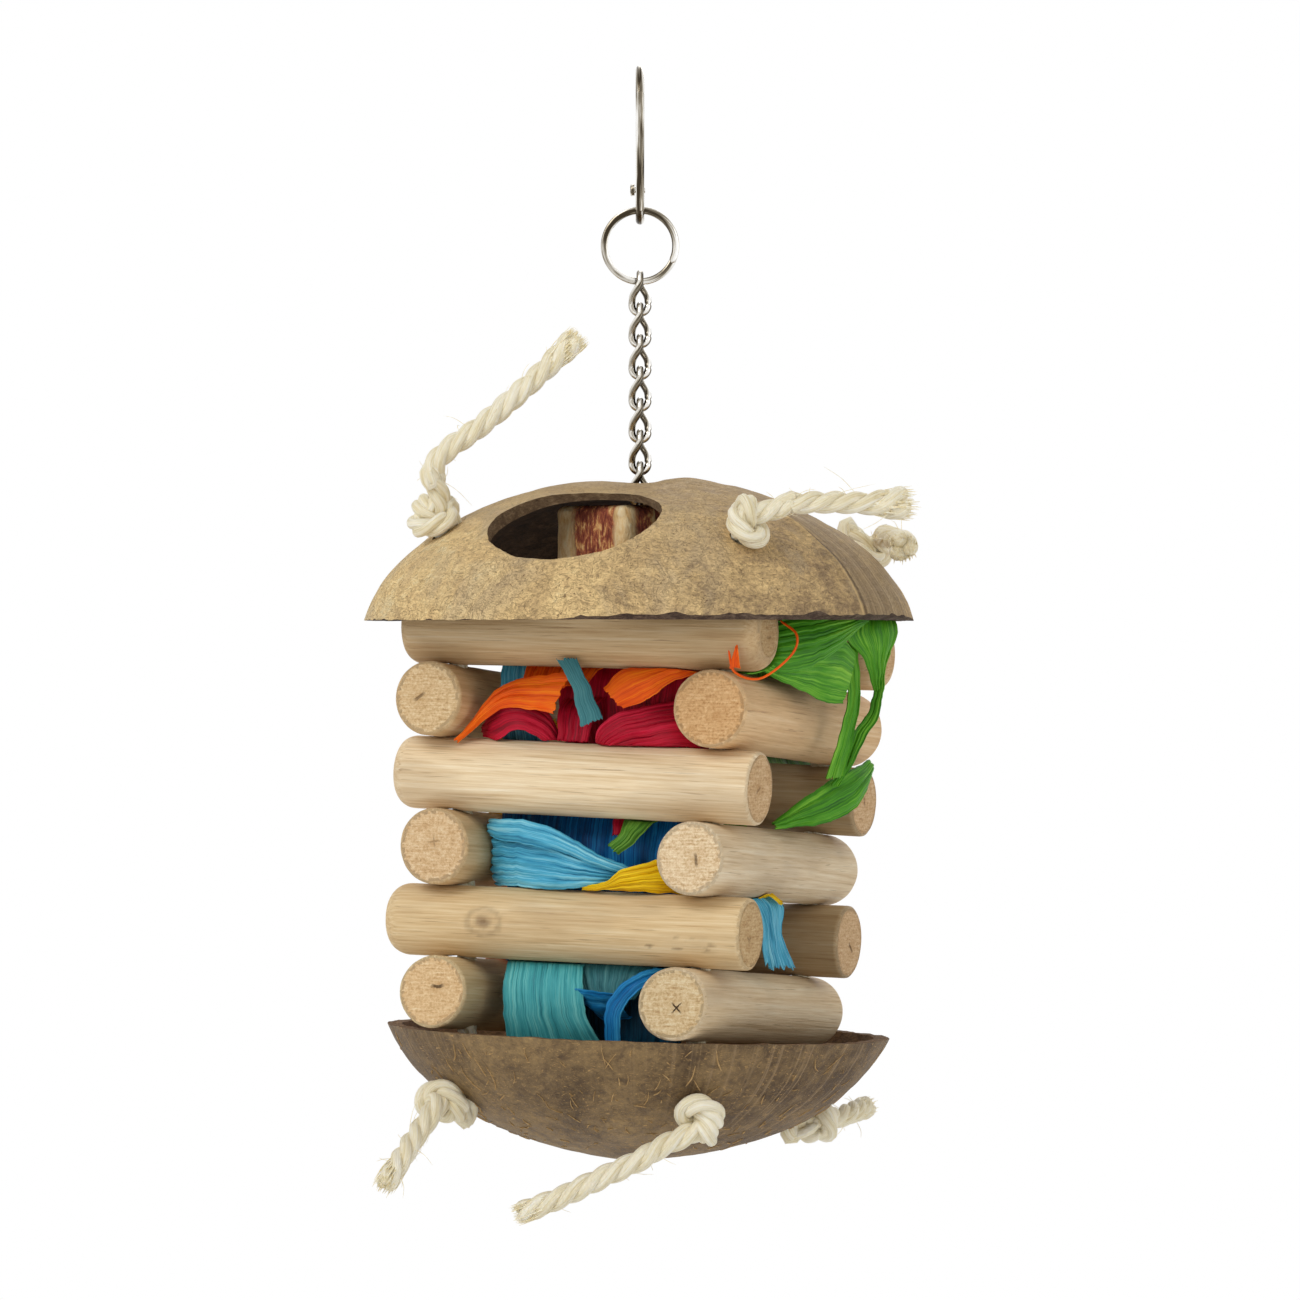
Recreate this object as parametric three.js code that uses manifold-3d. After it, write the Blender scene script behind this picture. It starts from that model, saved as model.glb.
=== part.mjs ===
// Bird foraging hut: a stack of sticks between two half coconut shells, hung by a chain from a pear clip.
// Millimetres, +Z up. The origin is the top of the clip's inside, where a cage bar carries it.
// The hut's front, with the foraging hole, faces -Y.
import * as THREE from 'three';
import { mergeVertices } from 'three/addons/utils/BufferGeometryUtils.js';
import Module from 'manifold-3d';

const wasm = await Module();
wasm.setup();

// Clearances
const GAP = 0.3; // between pieces that touch
const SOFT_GAP = 0.75; // between a husk's middle and the stick that it leans on, past half its thickness

// Clip, in a plane that holds the view axis
const HANGER_TURN = 22.5; // degrees about Z, from the hut to the clip, ring and chain
const CLIP_WIRE = 2.2;
const CLIP_HEIGHT = 40.6;
const CLIP_TOP_RADIUS = 8; // to the wire's middle
const CLIP_BOTTOM_RADIUS = 4.6; // to the wire's middle
const RIVET_RISE = 4.1; // from the bottom arc, along the gate's side
const NOSE_LENGTH = 3; // straight end of the clip above the gate
const EYE_RADIUS = 2.4; // flat ends of the clip and the gate round the rivet
const RIVET_DIAMETER = 1.6;
const RIVET_HEAD_DIAMETER = 3.4;
const RIVET_HEAD_HEIGHT = 1.1;
const GATE_WIRE = 2;

// Split ring
const RING_DIAMETER = 20;
const RING_WIRE_DEPTH = 1.8; // across the ring's radius
const RING_WIRE_WIDTH = 1.1; // along the ring's axis
const RING_LAYER_GAP = 0.5;
const RING_FIRST_END = -28; // degrees round the ring
const RING_TURNS = 1.5;
const RING_LAYER_CHANGE = [208, 325]; // degrees round the ring where the wire crosses to its second layer

// Chain
const LINK_COUNT = 8;
const LINK_WIRE = 1.8;
const LINK_WIDTH = 5.9;
const LINK_LENGTH = 12;

// Anchor block inside the roof
const BLOCK_WIDTH = 26;
const BLOCK_DEPTH = 36;
const BLOCK_HEIGHT = 24;
const BLOCK_TURN = -45.5; // degrees about Z, from the chain
const BLOCK_MOUTH_DIAMETER = 11; // room for the chain to swing
const BLOCK_MOUTH_DEPTH = 3;
const PIN_DIAMETER = 1.8;
const PIN_LENGTH = 29;
const PIN_END = 17; // from the chain to the pin's rear end
const PIN_DEPTH = 5.4; // under the block's top

// Coconut shells
const SHELL_WALL = 3.5;
const ROOF_RADIUS = 69.6;
const ROOF_HEIGHT = 35;
const ROOF_EQUATOR = 13; // from the rim down to where the shell would be widest
const ROOF_POWER = 2.4; // above 2 is flatter on top than an ellipse
const ROOF_OVAL = 1.03; // front to back over left to right
const CHAIN_HOLE_DIAMETER = 13;
const FORAGING_HOLE_DIAMETER = 44;
const FORAGING_HOLE_REACH = 42; // from the chain to the hole's middle
const FORAGING_HOLE_SLANT = 24; // degrees between the hole's axis and the vertical
const BOWL_RADIUS = 63.4;
const BOWL_DEPTH = 31.7;
const BOWL_EQUATOR = 18;
const BOWL_POWER = 2.2;
const BOWL_SLANT_BACK = -1; // degrees about X
const BOWL_SLANT_RIGHT = 1.5; // degrees about Y
const BOWL_SHIFT_X = -1;
const BOWL_SHIFT_Y = 1;

// Sticks: even layers lie front to back, odd layers left to right, from the top down
const STICK_LENGTH = 97;
const STICK_CHAMFER = 1.5;
const SADDLE_DEPTH = 0.8; // cut under each stick where it crosses the one below
const STICK_PAIRS = [
  { along: 'x', names: ['front', 'back'], diameters: [19.4, 19], shifts: [0.5, 2.5] },
  { along: 'y', names: ['left', 'right'], diameters: [18.8, 20.2], shifts: [-1, 1] },
  { along: 'x', names: ['front', 'back'], diameters: [18.8, 18.4], shifts: [-0.3, -0.8] },
  { along: 'y', names: ['left', 'right'], diameters: [19.4, 18.6], shifts: [1.4, -0.3] },
  { along: 'x', names: ['front', 'back'], diameters: [18.5, 19], shifts: [-1.2, -2.5] },
  { along: 'y', names: ['left', 'right'], diameters: [18.7, 18.9], shifts: [-0.5, -0.2] },
];
const STACK_SLANT_BACK = -3.9; // degrees about X: the stack hangs lower at the back
const STACK_SLANT_RIGHT = 1.7; // degrees about Y: and lower on the right
const STACK_SHIFT_X = -1.9;
const STACK_SHIFT_Y = -4.2;

// Ropes
const ROPE_DIAMETER = 5.6;
const ROPE_HOLE_CLEARANCE = 0.6;
const ROPE_SPREAD_TOP = [39.2, 38.6]; // half the distance between ropes at the top layer, along X and Y
const ROPE_SPREAD_BOTTOM = [32.4, 35.2];
const BOWL_HOLE_SPREAD = [33, 36.5]; // the same, where the ropes leave the bowl
const BOWL_HOLE_SHIFT_Y = -3.5; // from the bowl's middle
const KNOT_DIAMETER = 11.6;

// Free rope ends: points after the knot, chosen by eye
const TAILS = {
  roof_front_left: [
    [-40.6, -39.6, -105], [-39, -40, -99.5], [-35.5, -38, -95.5], [-30, -34.6, -91], [-23.3, -30.2, -84.3],
    [-16.5, -25.8, -77], [-8.6, -20.9, -68],
  ],
  roof_front_right: [[54, -33, -110.5], [62, -26.3, -110.2], [70, -20, -110.4], [77.4, -13.4, -110.3]],
  roof_back_left: [[-47, 56, -121], [-51, 64, -123.5], [-54, 71, -126], [-56, 76, -128.5]],
  roof_back_right: [[52.5, 37, -117.5], [58.5, 29.5, -118.5], [63, 22.5, -119.5], [65.5, 15.5, -121]],
  bowl_front_left: [[-38, -54, -268], [-38.6, -60, -272.5], [-39.3, -65, -276.5], [-40.1, -69, -280.1]],
  bowl_front_right: [[21, -49.5, -273], [9.9, -53, -278.5], [1.3, -55.5, -282.8], [-8.8, -57.8, -286.9]],
  bowl_back_left: [[-38.5, 49, -268.5], [-40, 56, -270], [-41, 62, -272], [-42, 68, -274.5]],
  bowl_back_right: [[37, 50, -267.5], [37, 56.5, -267], [36.5, 62.5, -266.8], [36, 68.5, -266.5]],
};

// Husk leaves: each leans on the inside of the sticks over and under a gap, from one place to another along
// them, and swells out between them by a distance from the sticks' middle. A leaf with only one of the two
// turns back into the hut, and one that lies over a stick hangs down outside by its drop.
const HUSK_THICKNESS = 1.2;
const HUSK_HUG = [12, 31, 50]; // degrees past the innermost line of the stick that a leaf follows
const HUSK_DRAPE = [150, 120, 90, 60, 30]; // degrees over the stick that a leaf hangs on
const HUSK_PLEAT = 1.4; // how far a leaf's columns stand in front of or behind each other
const HUSK_COLUMN = 7; // width of a leaf's columns
const LEAVES = [
  { name: 'orange_left', upper: 'stick_1_front', lower: 'stick_3_front', from: -24, to: -3, swell: 3 },
  { name: 'teal_strip', upper: 'stick_1_front', lower: 'stick_3_front', from: -1, to: 6.5, swell: 7 },
  { name: 'orange_right', upper: 'stick_1_front', from: 8.5, to: 23, swell: 2, drop: 6.2 },
  { name: 'crimson_front', lower: 'stick_3_front', from: 8.5, to: 22, swell: 2, drop: 5.4 },
  { name: 'blue_front', upper: 'stick_3_front', lower: 'stick_5_front', from: -22, to: 5, swell: 0 },
  { name: 'green_front', upper: 'stick_3_front', from: 7, to: 18, swell: 0, drop: 5.6 },
  { name: 'yellow_front', lower: 'stick_5_front', from: 7, to: 19, swell: 1, drop: 5.4 },
  { name: 'teal_low', upper: 'stick_5_front', from: -21, to: 3, swell: 1, drop: 12 },
  { name: 'navy_low', upper: 'stick_5_front', from: 5, to: 18, swell: 2, drop: 12 },
  { name: 'blue_right', upper: 'stick_4_right', lower: 'stick_6_right', from: -22, to: -7, swell: 3 },
  { name: 'crimson_back', upper: 'stick_1_back', lower: 'stick_3_back', from: -20, to: 12, swell: 2 },
  { name: 'green_back', upper: 'stick_3_back', lower: 'stick_5_back', from: -14, to: 18, swell: 3 },
  { name: 'yellow_left', upper: 'stick_2_left', lower: 'stick_4_left', from: -16, to: 14, swell: 2 },
  { name: 'orange_low', upper: 'stick_4_left', lower: 'stick_6_left', from: -10, to: 16, swell: 1 },
  { name: 'green_leaf', over: 'stick_2_right', from: -25, to: 8, drop: 6, flare: 9 },
  { name: 'green_strand', over: 'stick_2_right', from: 12, to: 24, drop: 30, flare: 3 },
];

// Facets
const RING_STEPS_PER_TURN = 24;
const LINK_STEPS = 24;
const SHELL_BANDS = 8;
const SHELL_SIDES = 36;
const STICK_SIDES = 16;
const CORD_SIDES = 8;
const CORD_STEP = 2; // diameters between a cord's steps

const radians = THREE.MathUtils.degToRad;
const vector = (x, y, z) => new THREE.Vector3(x, y, z);

// Materials
const finish = (color, roughness, metalness = 0) => new THREE.MeshStandardMaterial({
  color,
  roughness,
  metalness,
  flatShading: true,
});
const nickel = finish(0xc9c6c0, 0.25, 1);
const shell = finish(0xaa9169, 0.8);
const bowlShell = finish(0x5f4e3c, 0.75);
const wood = finish(0xe1c39b, 0.7);
const bark = finish(0x7a4030, 0.9);
const sisal = finish(0xebe1c3, 0.9);
const HUSK_COLOURS = {
  orange: 0xf06e0a,
  teal: 0x287d82,
  crimson: 0xb90a32,
  blue: 0x46a0cd,
  navy: 0x00508c,
  green: 0x3c8228,
  yellow: 0xebc30a,
};
const husks = Object.fromEntries(
  Object.entries(HUSK_COLOURS).map(([name, colour]) => [name, finish(colour, 0.6)]),
);

// Solids: joining and cutting closed meshes
function solidOf(geometry) {
  const bare = geometry.clone();
  bare.deleteAttribute('normal');
  bare.deleteAttribute('uv');
  const merged = mergeVertices(bare, 1e-4);
  const vertProperties = new Float32Array(merged.attributes.position.array);
  const triVerts = new Uint32Array(merged.index.array);
  return new wasm.Manifold(new wasm.Mesh({ numProp: 3, vertProperties, triVerts }));
}

function geometryOf(solid) {
  const mesh = solid.getMesh();
  const geometry = new THREE.BufferGeometry();
  geometry.setAttribute('position', new THREE.BufferAttribute(mesh.vertProperties, 3));
  geometry.setIndex(new THREE.BufferAttribute(mesh.triVerts, 1));
  return geometry;
}

function cut(geometry, cutters) {
  const left = cutters.reduce((solid, cutter) => solid.subtract(solidOf(cutter)), solidOf(geometry));
  return geometryOf(left);
}

function join(geometries) {
  const [first, ...others] = geometries.map(solidOf);
  return geometryOf(others.reduce((solid, other) => solid.add(other), first));
}

// A round rod from one point to another
function rod(from, to, radius, sides = 16) {
  const axis = to.clone().sub(from);
  const geometry = new THREE.CylinderGeometry(radius, radius, axis.length(), sides);
  const turn = new THREE.Quaternion().setFromUnitVectors(vector(0, 1, 0), axis.clone().normalize());
  geometry.applyQuaternion(turn);
  const middle = from.clone().add(to).multiplyScalar(0.5);
  return geometry.translate(middle.x, middle.y, middle.z);
}

// A section carried along points. The section's first axis points the way that aim gives.
function sweep(points, section, aim, closed = false) {
  const count = points.length;
  const positions = [];
  for (let i = 0; i < count; i += 1) {
    const before = points[closed ? (i + count - 1) % count : Math.max(i - 1, 0)];
    const after = points[closed ? (i + 1) % count : Math.min(i + 1, count - 1)];
    const along = after.clone().sub(before).normalize();
    const out = aim(points[i], along);
    out.addScaledVector(along, -out.dot(along)).normalize();
    const side = along.clone().cross(out);
    for (const [a, b] of section) {
      const p = points[i].clone().addScaledVector(out, a).addScaledVector(side, b);
      positions.push(p.x, p.y, p.z);
    }
  }
  const sides = section.length;
  const index = [];
  const at = (i, j) => (i % count) * sides + (j % sides);
  for (let i = 0; i < (closed ? count : count - 1); i += 1) {
    for (let j = 0; j < sides; j += 1) {
      index.push(at(i, j), at(i, j + 1), at(i + 1, j + 1), at(i, j), at(i + 1, j + 1), at(i + 1, j));
    }
  }
  if (!closed) {
    for (let j = 1; j < sides - 1; j += 1) {
      index.push(at(0, 0), at(0, j + 1), at(0, j), at(count - 1, 0), at(count - 1, j), at(count - 1, j + 1));
    }
  }
  const geometry = new THREE.BufferGeometry();
  geometry.setAttribute('position', new THREE.Float32BufferAttribute(positions, 3));
  geometry.setIndex(index);
  return geometry;
}

function oval(width, height, sides) {
  const corner = (j) => (2 * Math.PI * (j + 0.5)) / sides;
  return Array.from({ length: sides }, (_, j) => [
    (width / 2) * Math.cos(corner(j)),
    (height / 2) * Math.sin(corner(j)),
  ]);
}

// A thin closed sheet: rows of points through its middle
function slab(rows, thickness) {
  const last = rows.length - 1;
  const width = rows[0].length;
  const corners = [[], []];
  rows.forEach((row, i) => row.forEach((p, j) => {
    const down = rows[Math.min(i + 1, last)][j].clone().sub(rows[Math.max(i - 1, 0)][j]);
    const across = row[Math.min(j + 1, width - 1)].clone().sub(row[Math.max(j - 1, 0)]);
    const normal = across.cross(down).normalize();
    corners[0].push(p.clone().addScaledVector(normal, thickness / 2));
    corners[1].push(p.clone().addScaledVector(normal, -thickness / 2));
  }));
  const back = corners[0].length;
  const positions = corners.flat().flatMap((p) => [p.x, p.y, p.z]);
  const at = (i, j) => i * width + j;
  const index = [];
  const quad = (a, b, c, d) => index.push(a, b, c, a, c, d);
  for (let i = 0; i < last; i += 1) {
    for (let j = 0; j < width - 1; j += 1) {
      const [a, b, c, d] = [at(i, j), at(i, j + 1), at(i + 1, j + 1), at(i + 1, j)];
      quad(a, b, c, d);
      quad(back + d, back + c, back + b, back + a);
    }
  }
  for (let j = 0; j < width - 1; j += 1) {
    quad(at(0, j + 1), at(0, j), back + at(0, j), back + at(0, j + 1));
    quad(at(last, j), at(last, j + 1), back + at(last, j + 1), back + at(last, j));
  }
  for (let i = 0; i < last; i += 1) {
    quad(at(i, 0), at(i + 1, 0), back + at(i + 1, 0), back + at(i, 0));
    quad(at(i + 1, width - 1), at(i, width - 1), back + at(i, width - 1), back + at(i + 1, width - 1));
  }
  const geometry = new THREE.BufferGeometry();
  geometry.setAttribute('position', new THREE.Float32BufferAttribute(positions, 3));
  geometry.setIndex(index);
  return geometry;
}

const hut = new THREE.Group();
const hanger = new THREE.Group();
hanger.rotation.z = radians(HANGER_TURN);
hut.add(hanger);

function add(group, name, geometry, material) {
  const mesh = new THREE.Mesh(geometry, material);
  mesh.name = name;
  group.add(mesh);
  return mesh;
}

// Clip. In the hanger X is across the view, Y is the clip's own width.
const clipTop = CLIP_WIRE / 2;
const clipBottom = CLIP_WIRE * 1.5 - CLIP_HEIGHT;
const topCentre = vector(0, 0, clipTop - CLIP_TOP_RADIUS);
const bottomCentre = vector(0, 0, clipBottom + CLIP_BOTTOM_RADIUS);
const centreSpan = topCentre.z - bottomCentre.z;
const sideLean = Math.asin((CLIP_TOP_RADIUS - CLIP_BOTTOM_RADIUS) / centreSpan);
const sideLength = centreSpan * Math.cos(sideLean);
const gateUp = vector(0, Math.sin(sideLean), Math.cos(sideLean));
const gateFoot = vector(0, Math.cos(sideLean), -Math.sin(sideLean)).multiplyScalar(CLIP_BOTTOM_RADIUS)
  .add(bottomCentre);
const gateSide = (rise) => gateFoot.clone().addScaledVector(gateUp, rise);
const acrossView = () => vector(1, 0, 0);

function arcPoints(centre, radius, from, to, steps) {
  return Array.from({ length: steps + 1 }, (_, i) => {
    const angle = from + ((to - from) * i) / steps;
    return vector(0, radius * Math.cos(angle), radius * Math.sin(angle)).add(centre);
  });
}

const rivetPlace = gateSide(RIVET_RISE);
const eyeGap = GAP / 2;
const eyeRoom = EYE_RADIUS + GAP;

function eyeDisc(fromX, toX, radius) {
  return rod(rivetPlace.clone().setX(fromX), rivetPlace.clone().setX(toX), radius, 20);
}

const rivetHole = eyeDisc(-CLIP_WIRE, CLIP_WIRE, RIVET_DIAMETER / 2 + GAP);
const clipWire = [
  gateSide(RIVET_RISE),
  ...arcPoints(bottomCentre, CLIP_BOTTOM_RADIUS, -sideLean, -Math.PI + sideLean, 10),
  ...arcPoints(topCentre, CLIP_TOP_RADIUS, Math.PI + sideLean, -sideLean, 16),
  gateSide(sideLength - NOSE_LENGTH),
];
const clipLoop = sweep(clipWire, oval(CLIP_WIRE, CLIP_WIRE, 8), acrossView);
const clipEye = eyeDisc(eyeGap, CLIP_WIRE / 2, EYE_RADIUS);
const gateEyeRoom = eyeDisc(-CLIP_WIRE, eyeGap, eyeRoom);
add(hanger, 'clip_body', cut(join([cut(clipLoop, [gateEyeRoom]), clipEye]), [rivetHole]), nickel);

const gateTip = gateSide(sideLength - NOSE_LENGTH - GAP);
const gateRod = rod(rivetPlace, gateTip, GATE_WIRE / 2, 10);
const clipEyeRoom = eyeDisc(-eyeGap, CLIP_WIRE, eyeRoom);
const gateEye = eyeDisc(-CLIP_WIRE / 2, -eyeGap, EYE_RADIUS);
add(hanger, 'clip_gate', cut(join([cut(gateRod, [clipEyeRoom]), gateEye]), [rivetHole]), nickel);

const headFace = -CLIP_WIRE / 2 - GAP;
const rivetHead = eyeDisc(headFace - RIVET_HEAD_HEIGHT, headFace, RIVET_HEAD_DIAMETER / 2);
const rivetShank = eyeDisc(headFace - RIVET_HEAD_HEIGHT / 2, CLIP_WIRE / 2, RIVET_DIAMETER / 2);
add(hanger, 'gate_rivet', join([rivetHead, rivetShank]), nickel);

// Split ring: one unbroken tube, doubled round the top and single where the chain hangs
const ringMiddle = RING_DIAMETER / 2 - RING_WIRE_DEPTH / 2;
const ringBore = RING_DIAMETER / 2 - RING_WIRE_DEPTH;
const ringPitch = RING_WIRE_WIDTH + RING_LAYER_GAP;
const ringHalfWidth = (ringPitch + RING_WIRE_WIDTH) / 2;
const clipInside = CLIP_BOTTOM_RADIUS - CLIP_WIRE / 2;
const ringSeat = CLIP_BOTTOM_RADIUS - Math.sqrt(clipInside ** 2 - ringHalfWidth ** 2);
const ringCentre = vector(0, 0, clipBottom + ringSeat + GAP - ringBore);
const ringSteps = Math.round(RING_TURNS * RING_STEPS_PER_TURN);

const ringPoints = Array.from({ length: ringSteps + 1 }, (_, i) => {
  const turn = RING_FIRST_END + (360 * i) / RING_STEPS_PER_TURN;
  const layer = THREE.MathUtils.smoothstep(turn, ...RING_LAYER_CHANGE) - 0.5;
  const x = ringMiddle * Math.cos(radians(turn));
  const z = ringMiddle * Math.sin(radians(turn));
  return vector(x, layer * ringPitch, z).add(ringCentre);
});
const fromRingCentre = (p) => p.clone().sub(ringCentre).setY(0);
const ringTube = sweep(ringPoints, oval(RING_WIRE_DEPTH, RING_WIRE_WIDTH, 6), fromRingCentre);
add(hanger, 'split_ring', ringTube, nickel);

function leastSelfGap(geometry, sides, apart) {
  const place = geometry.attributes.position;
  let least = Infinity;
  const [a, b] = [vector(0, 0, 0), vector(0, 0, 0)];
  for (let i = 0; i < place.count; i += 1) {
    a.fromBufferAttribute(place, i);
    for (let j = i + apart * sides; j < place.count; j += 1) {
      least = Math.min(least, a.distanceTo(b.fromBufferAttribute(place, j)));
    }
  }
  return least;
}
console.log('split ring, least gap to itself in mm:', leastSelfGap(ringTube, 6, 12).toFixed(2));

// Chain: each link is twisted a quarter turn, its top arc in the clip's plane, its bottom arc in the ring's
const linkBend = (LINK_WIDTH - LINK_WIRE) / 2;
const linkSpan = LINK_LENGTH - LINK_WIRE; // between the middles of the top and bottom wires
const linkNest = LINK_WIRE + GAP; // between the middles of two wires that hang in each other
const linkPitch = linkSpan - linkNest;
const ringBottom = ringCentre.z - ringBore;
const firstLinkTop = ringBottom + GAP + LINK_WIRE / 2;

function linkPoints(top) {
  const straight = linkSpan / 2 - linkBend;
  const perimeter = 4 * straight + 2 * Math.PI * linkBend;
  return Array.from({ length: LINK_STEPS }, (_, i) => {
    const half = perimeter / 2;
    const length = (perimeter * i) / LINK_STEPS;
    const onSide = length % half;
    const sign = length < half ? 1 : -1;
    const quarter = (Math.PI * linkBend) / 2;
    let across = linkBend;
    let height = straight - (onSide - quarter);
    if (onSide < quarter) {
      across = linkBend * Math.sin(onSide / linkBend);
      height = straight + linkBend * Math.cos(onSide / linkBend);
    } else if (onSide > half - quarter) {
      const left = (half - onSide) / linkBend;
      across = linkBend * Math.sin(left);
      height = -straight - linkBend * Math.cos(left);
    }
    const up = sign * height;
    const turn = (Math.PI / 2) * THREE.MathUtils.smoothstep(-up, -straight, straight);
    const out = sign * across;
    return vector(out * Math.sin(turn), out * Math.cos(turn), top - linkSpan / 2 + up);
  });
}

for (let n = 1; n <= LINK_COUNT; n += 1) {
  const top = firstLinkTop - (n - 1) * linkPitch;
  const middle = vector(0, 0, top - linkSpan / 2);
  const fromMiddle = (p) => p.clone().sub(middle);
  const tube = sweep(linkPoints(top), oval(LINK_WIRE, LINK_WIRE, 6), fromMiddle, true);
  add(hanger, `chain_link_${n}`, tube, nickel);
}

// Anchor block and its pin, which runs through the last link's bottom arc
const lastLinkBottom = firstLinkTop - (LINK_COUNT - 1) * linkPitch - linkSpan;
const pinHeight = lastLinkBottom + LINK_WIRE / 2 + PIN_DIAMETER / 2 + GAP;
const blockTop = pinHeight + PIN_DEPTH;
const onAxis = (z) => vector(0, 0, z);
const blockBox = new THREE.BoxGeometry(BLOCK_WIDTH, BLOCK_DEPTH, BLOCK_HEIGHT)
  .rotateZ(radians(BLOCK_TURN))
  .translate(0, 0, blockTop - BLOCK_HEIGHT / 2);
const boreRadius = LINK_WIDTH / 2 + GAP;
const blockBore = rod(onAxis(blockTop + 1), onAxis(lastLinkBottom - LINK_WIRE / 2 - GAP), boreRadius);
const blockMouth = rod(onAxis(blockTop + 1), onAxis(blockTop - BLOCK_MOUTH_DEPTH), BLOCK_MOUTH_DIAMETER / 2);
const pinStart = PIN_END - PIN_LENGTH;
const pinHole = rod(
  vector(0, pinStart - GAP, pinHeight),
  vector(0, BLOCK_WIDTH + BLOCK_DEPTH, pinHeight),
  PIN_DIAMETER / 2 + GAP,
  12,
);
add(hanger, 'anchor_block', cut(blockBox, [blockBore, blockMouth, pinHole]), bark);
const pin = rod(vector(0, pinStart, pinHeight), vector(0, PIN_END, pinHeight), PIN_DIAMETER / 2, 10);
add(hanger, 'anchor_pin', pin, nickel);

// Coconut shells: height over the rim at a radius, for the outside and the inside
function shellHeight(radius, rimRadius, height, equator, power) {
  const full = height + equator;
  const widest = rimRadius / Math.sqrt(1 - (equator / full) ** power);
  const share = Math.max(1 - (radius / widest) ** 2, 0);
  return full * share ** (1 / power) - equator;
}

const roofOutside = (r) => shellHeight(r, ROOF_RADIUS, ROOF_HEIGHT, ROOF_EQUATOR, ROOF_POWER);
const roofInside = (r) => shellHeight(
  r,
  ROOF_RADIUS - SHELL_WALL,
  ROOF_HEIGHT - SHELL_WALL,
  ROOF_EQUATOR,
  ROOF_POWER,
);
const bowlOutside = (r) => shellHeight(r, BOWL_RADIUS, BOWL_DEPTH, BOWL_EQUATOR, BOWL_POWER);
const bowlInside = (r) => shellHeight(
  r,
  BOWL_RADIUS - SHELL_WALL,
  BOWL_DEPTH - SHELL_WALL,
  BOWL_EQUATOR,
  BOWL_POWER,
);

function shellCap(rimRadius, outside, inside) {
  const ease = (i) => Math.sin((Math.PI / 2) * (i / SHELL_BANDS));
  const outer = [];
  const inner = [];
  for (let i = 0; i <= SHELL_BANDS; i += 1) {
    const outerRadius = rimRadius * ease(i);
    const innerRadius = (rimRadius - SHELL_WALL) * ease(i);
    outer.push(new THREE.Vector2(outerRadius, outside(outerRadius)));
    inner.push(new THREE.Vector2(innerRadius, inside(innerRadius)));
  }
  const profile = [...inner, ...outer.reverse()];
  return new THREE.LatheGeometry(profile, SHELL_SIDES).rotateX(Math.PI / 2);
}

// Roof, carried by the block's upper corners
const blockReach = Math.hypot(BLOCK_WIDTH, BLOCK_DEPTH) / 2;
const roofRim = blockTop + GAP - roofInside(blockReach);
const roofReach = (p) => Math.hypot(p.x, p.y / ROOF_OVAL);
const roofOver = (p) => p.z - roofRim - roofOutside(roofReach(p));

// Stack: corner heights grow from the lowest layer, one stick on the next
const SIDES = [-1, 1];
const radiusOf = (layer, side) => STICK_PAIRS[layer].diameters[side > 0 ? 1 : 0] / 2;
const sideAt = (layer, cx, cy) => (STICK_PAIRS[layer].along === 'x' ? cy : cx);
const bottomLayer = STICK_PAIRS.length - 1;
const sink = SADDLE_DEPTH - GAP;

function cornerHeight(layer, cx, cy) {
  let height = 0;
  for (let k = bottomLayer; k > layer; k -= 1) {
    const lower = radiusOf(k, sideAt(k, cx, cy));
    const upper = radiusOf(k - 1, sideAt(k - 1, cx, cy));
    height += lower + upper - sink;
  }
  return height;
}

const stackHeight = cornerHeight(0, -1, -1);
const [spreadTopX, spreadTopY] = ROPE_SPREAD_TOP;
const [spreadBottomX, spreadBottomY] = ROPE_SPREAD_BOTTOM;

function ropeAt(cx, cy, height) {
  const share = height / stackHeight;
  const x = THREE.MathUtils.lerp(spreadBottomX, spreadTopX, share);
  const y = THREE.MathUtils.lerp(spreadBottomY, spreadTopY, share);
  return vector(cx * x, cy * y, height);
}

const sticks = {};
STICK_PAIRS.forEach((pair, layer) => SIDES.forEach((side, n) => {
  const crossings = SIDES.map((end) => {
    const [cx, cy] = pair.along === 'x' ? [end, side] : [side, end];
    return ropeAt(cx, cy, cornerHeight(layer, cx, cy));
  });
  const axis = crossings[1].clone().sub(crossings[0]).normalize();
  const middle = crossings[0].clone().add(crossings[1]).multiplyScalar(0.5);
  middle.addScaledVector(axis, pair.shifts[n]);
  const name = `stick_${layer + 1}_${pair.names[n]}`;
  sticks[name] = { layer, side, crossings, axis, middle, radius: pair.diameters[n] / 2 };
}));

const stackTurn = new THREE.Euler(radians(STACK_SLANT_BACK), radians(STACK_SLANT_RIGHT), 0);
const slant = new THREE.Matrix4().makeRotationFromEuler(stackTurn);

// Points on a stick's surface, from end to end
function stickSurface(stick) {
  const AROUND = 48;
  const ALONG = 24;
  const points = [];
  const around = vector(0, 0, 1).cross(stick.axis).normalize();
  const over = stick.axis.clone().cross(around);
  const half = STICK_LENGTH / 2;
  const rings = [[-half, stick.radius - STICK_CHAMFER], [half, stick.radius - STICK_CHAMFER]];
  for (let k = 0; k <= ALONG; k += 1) {
    rings.push([(half - STICK_CHAMFER) * ((2 * k) / ALONG - 1), stick.radius]);
  }
  for (const [place, radius] of rings) {
    for (let i = 0; i < AROUND; i += 1) {
      const angle = (2 * Math.PI * i) / AROUND;
      const p = stick.middle.clone().addScaledVector(stick.axis, place);
      p.addScaledVector(around, radius * Math.cos(angle));
      points.push(p.addScaledVector(over, radius * Math.sin(angle)));
    }
  }
  return points;
}

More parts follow.
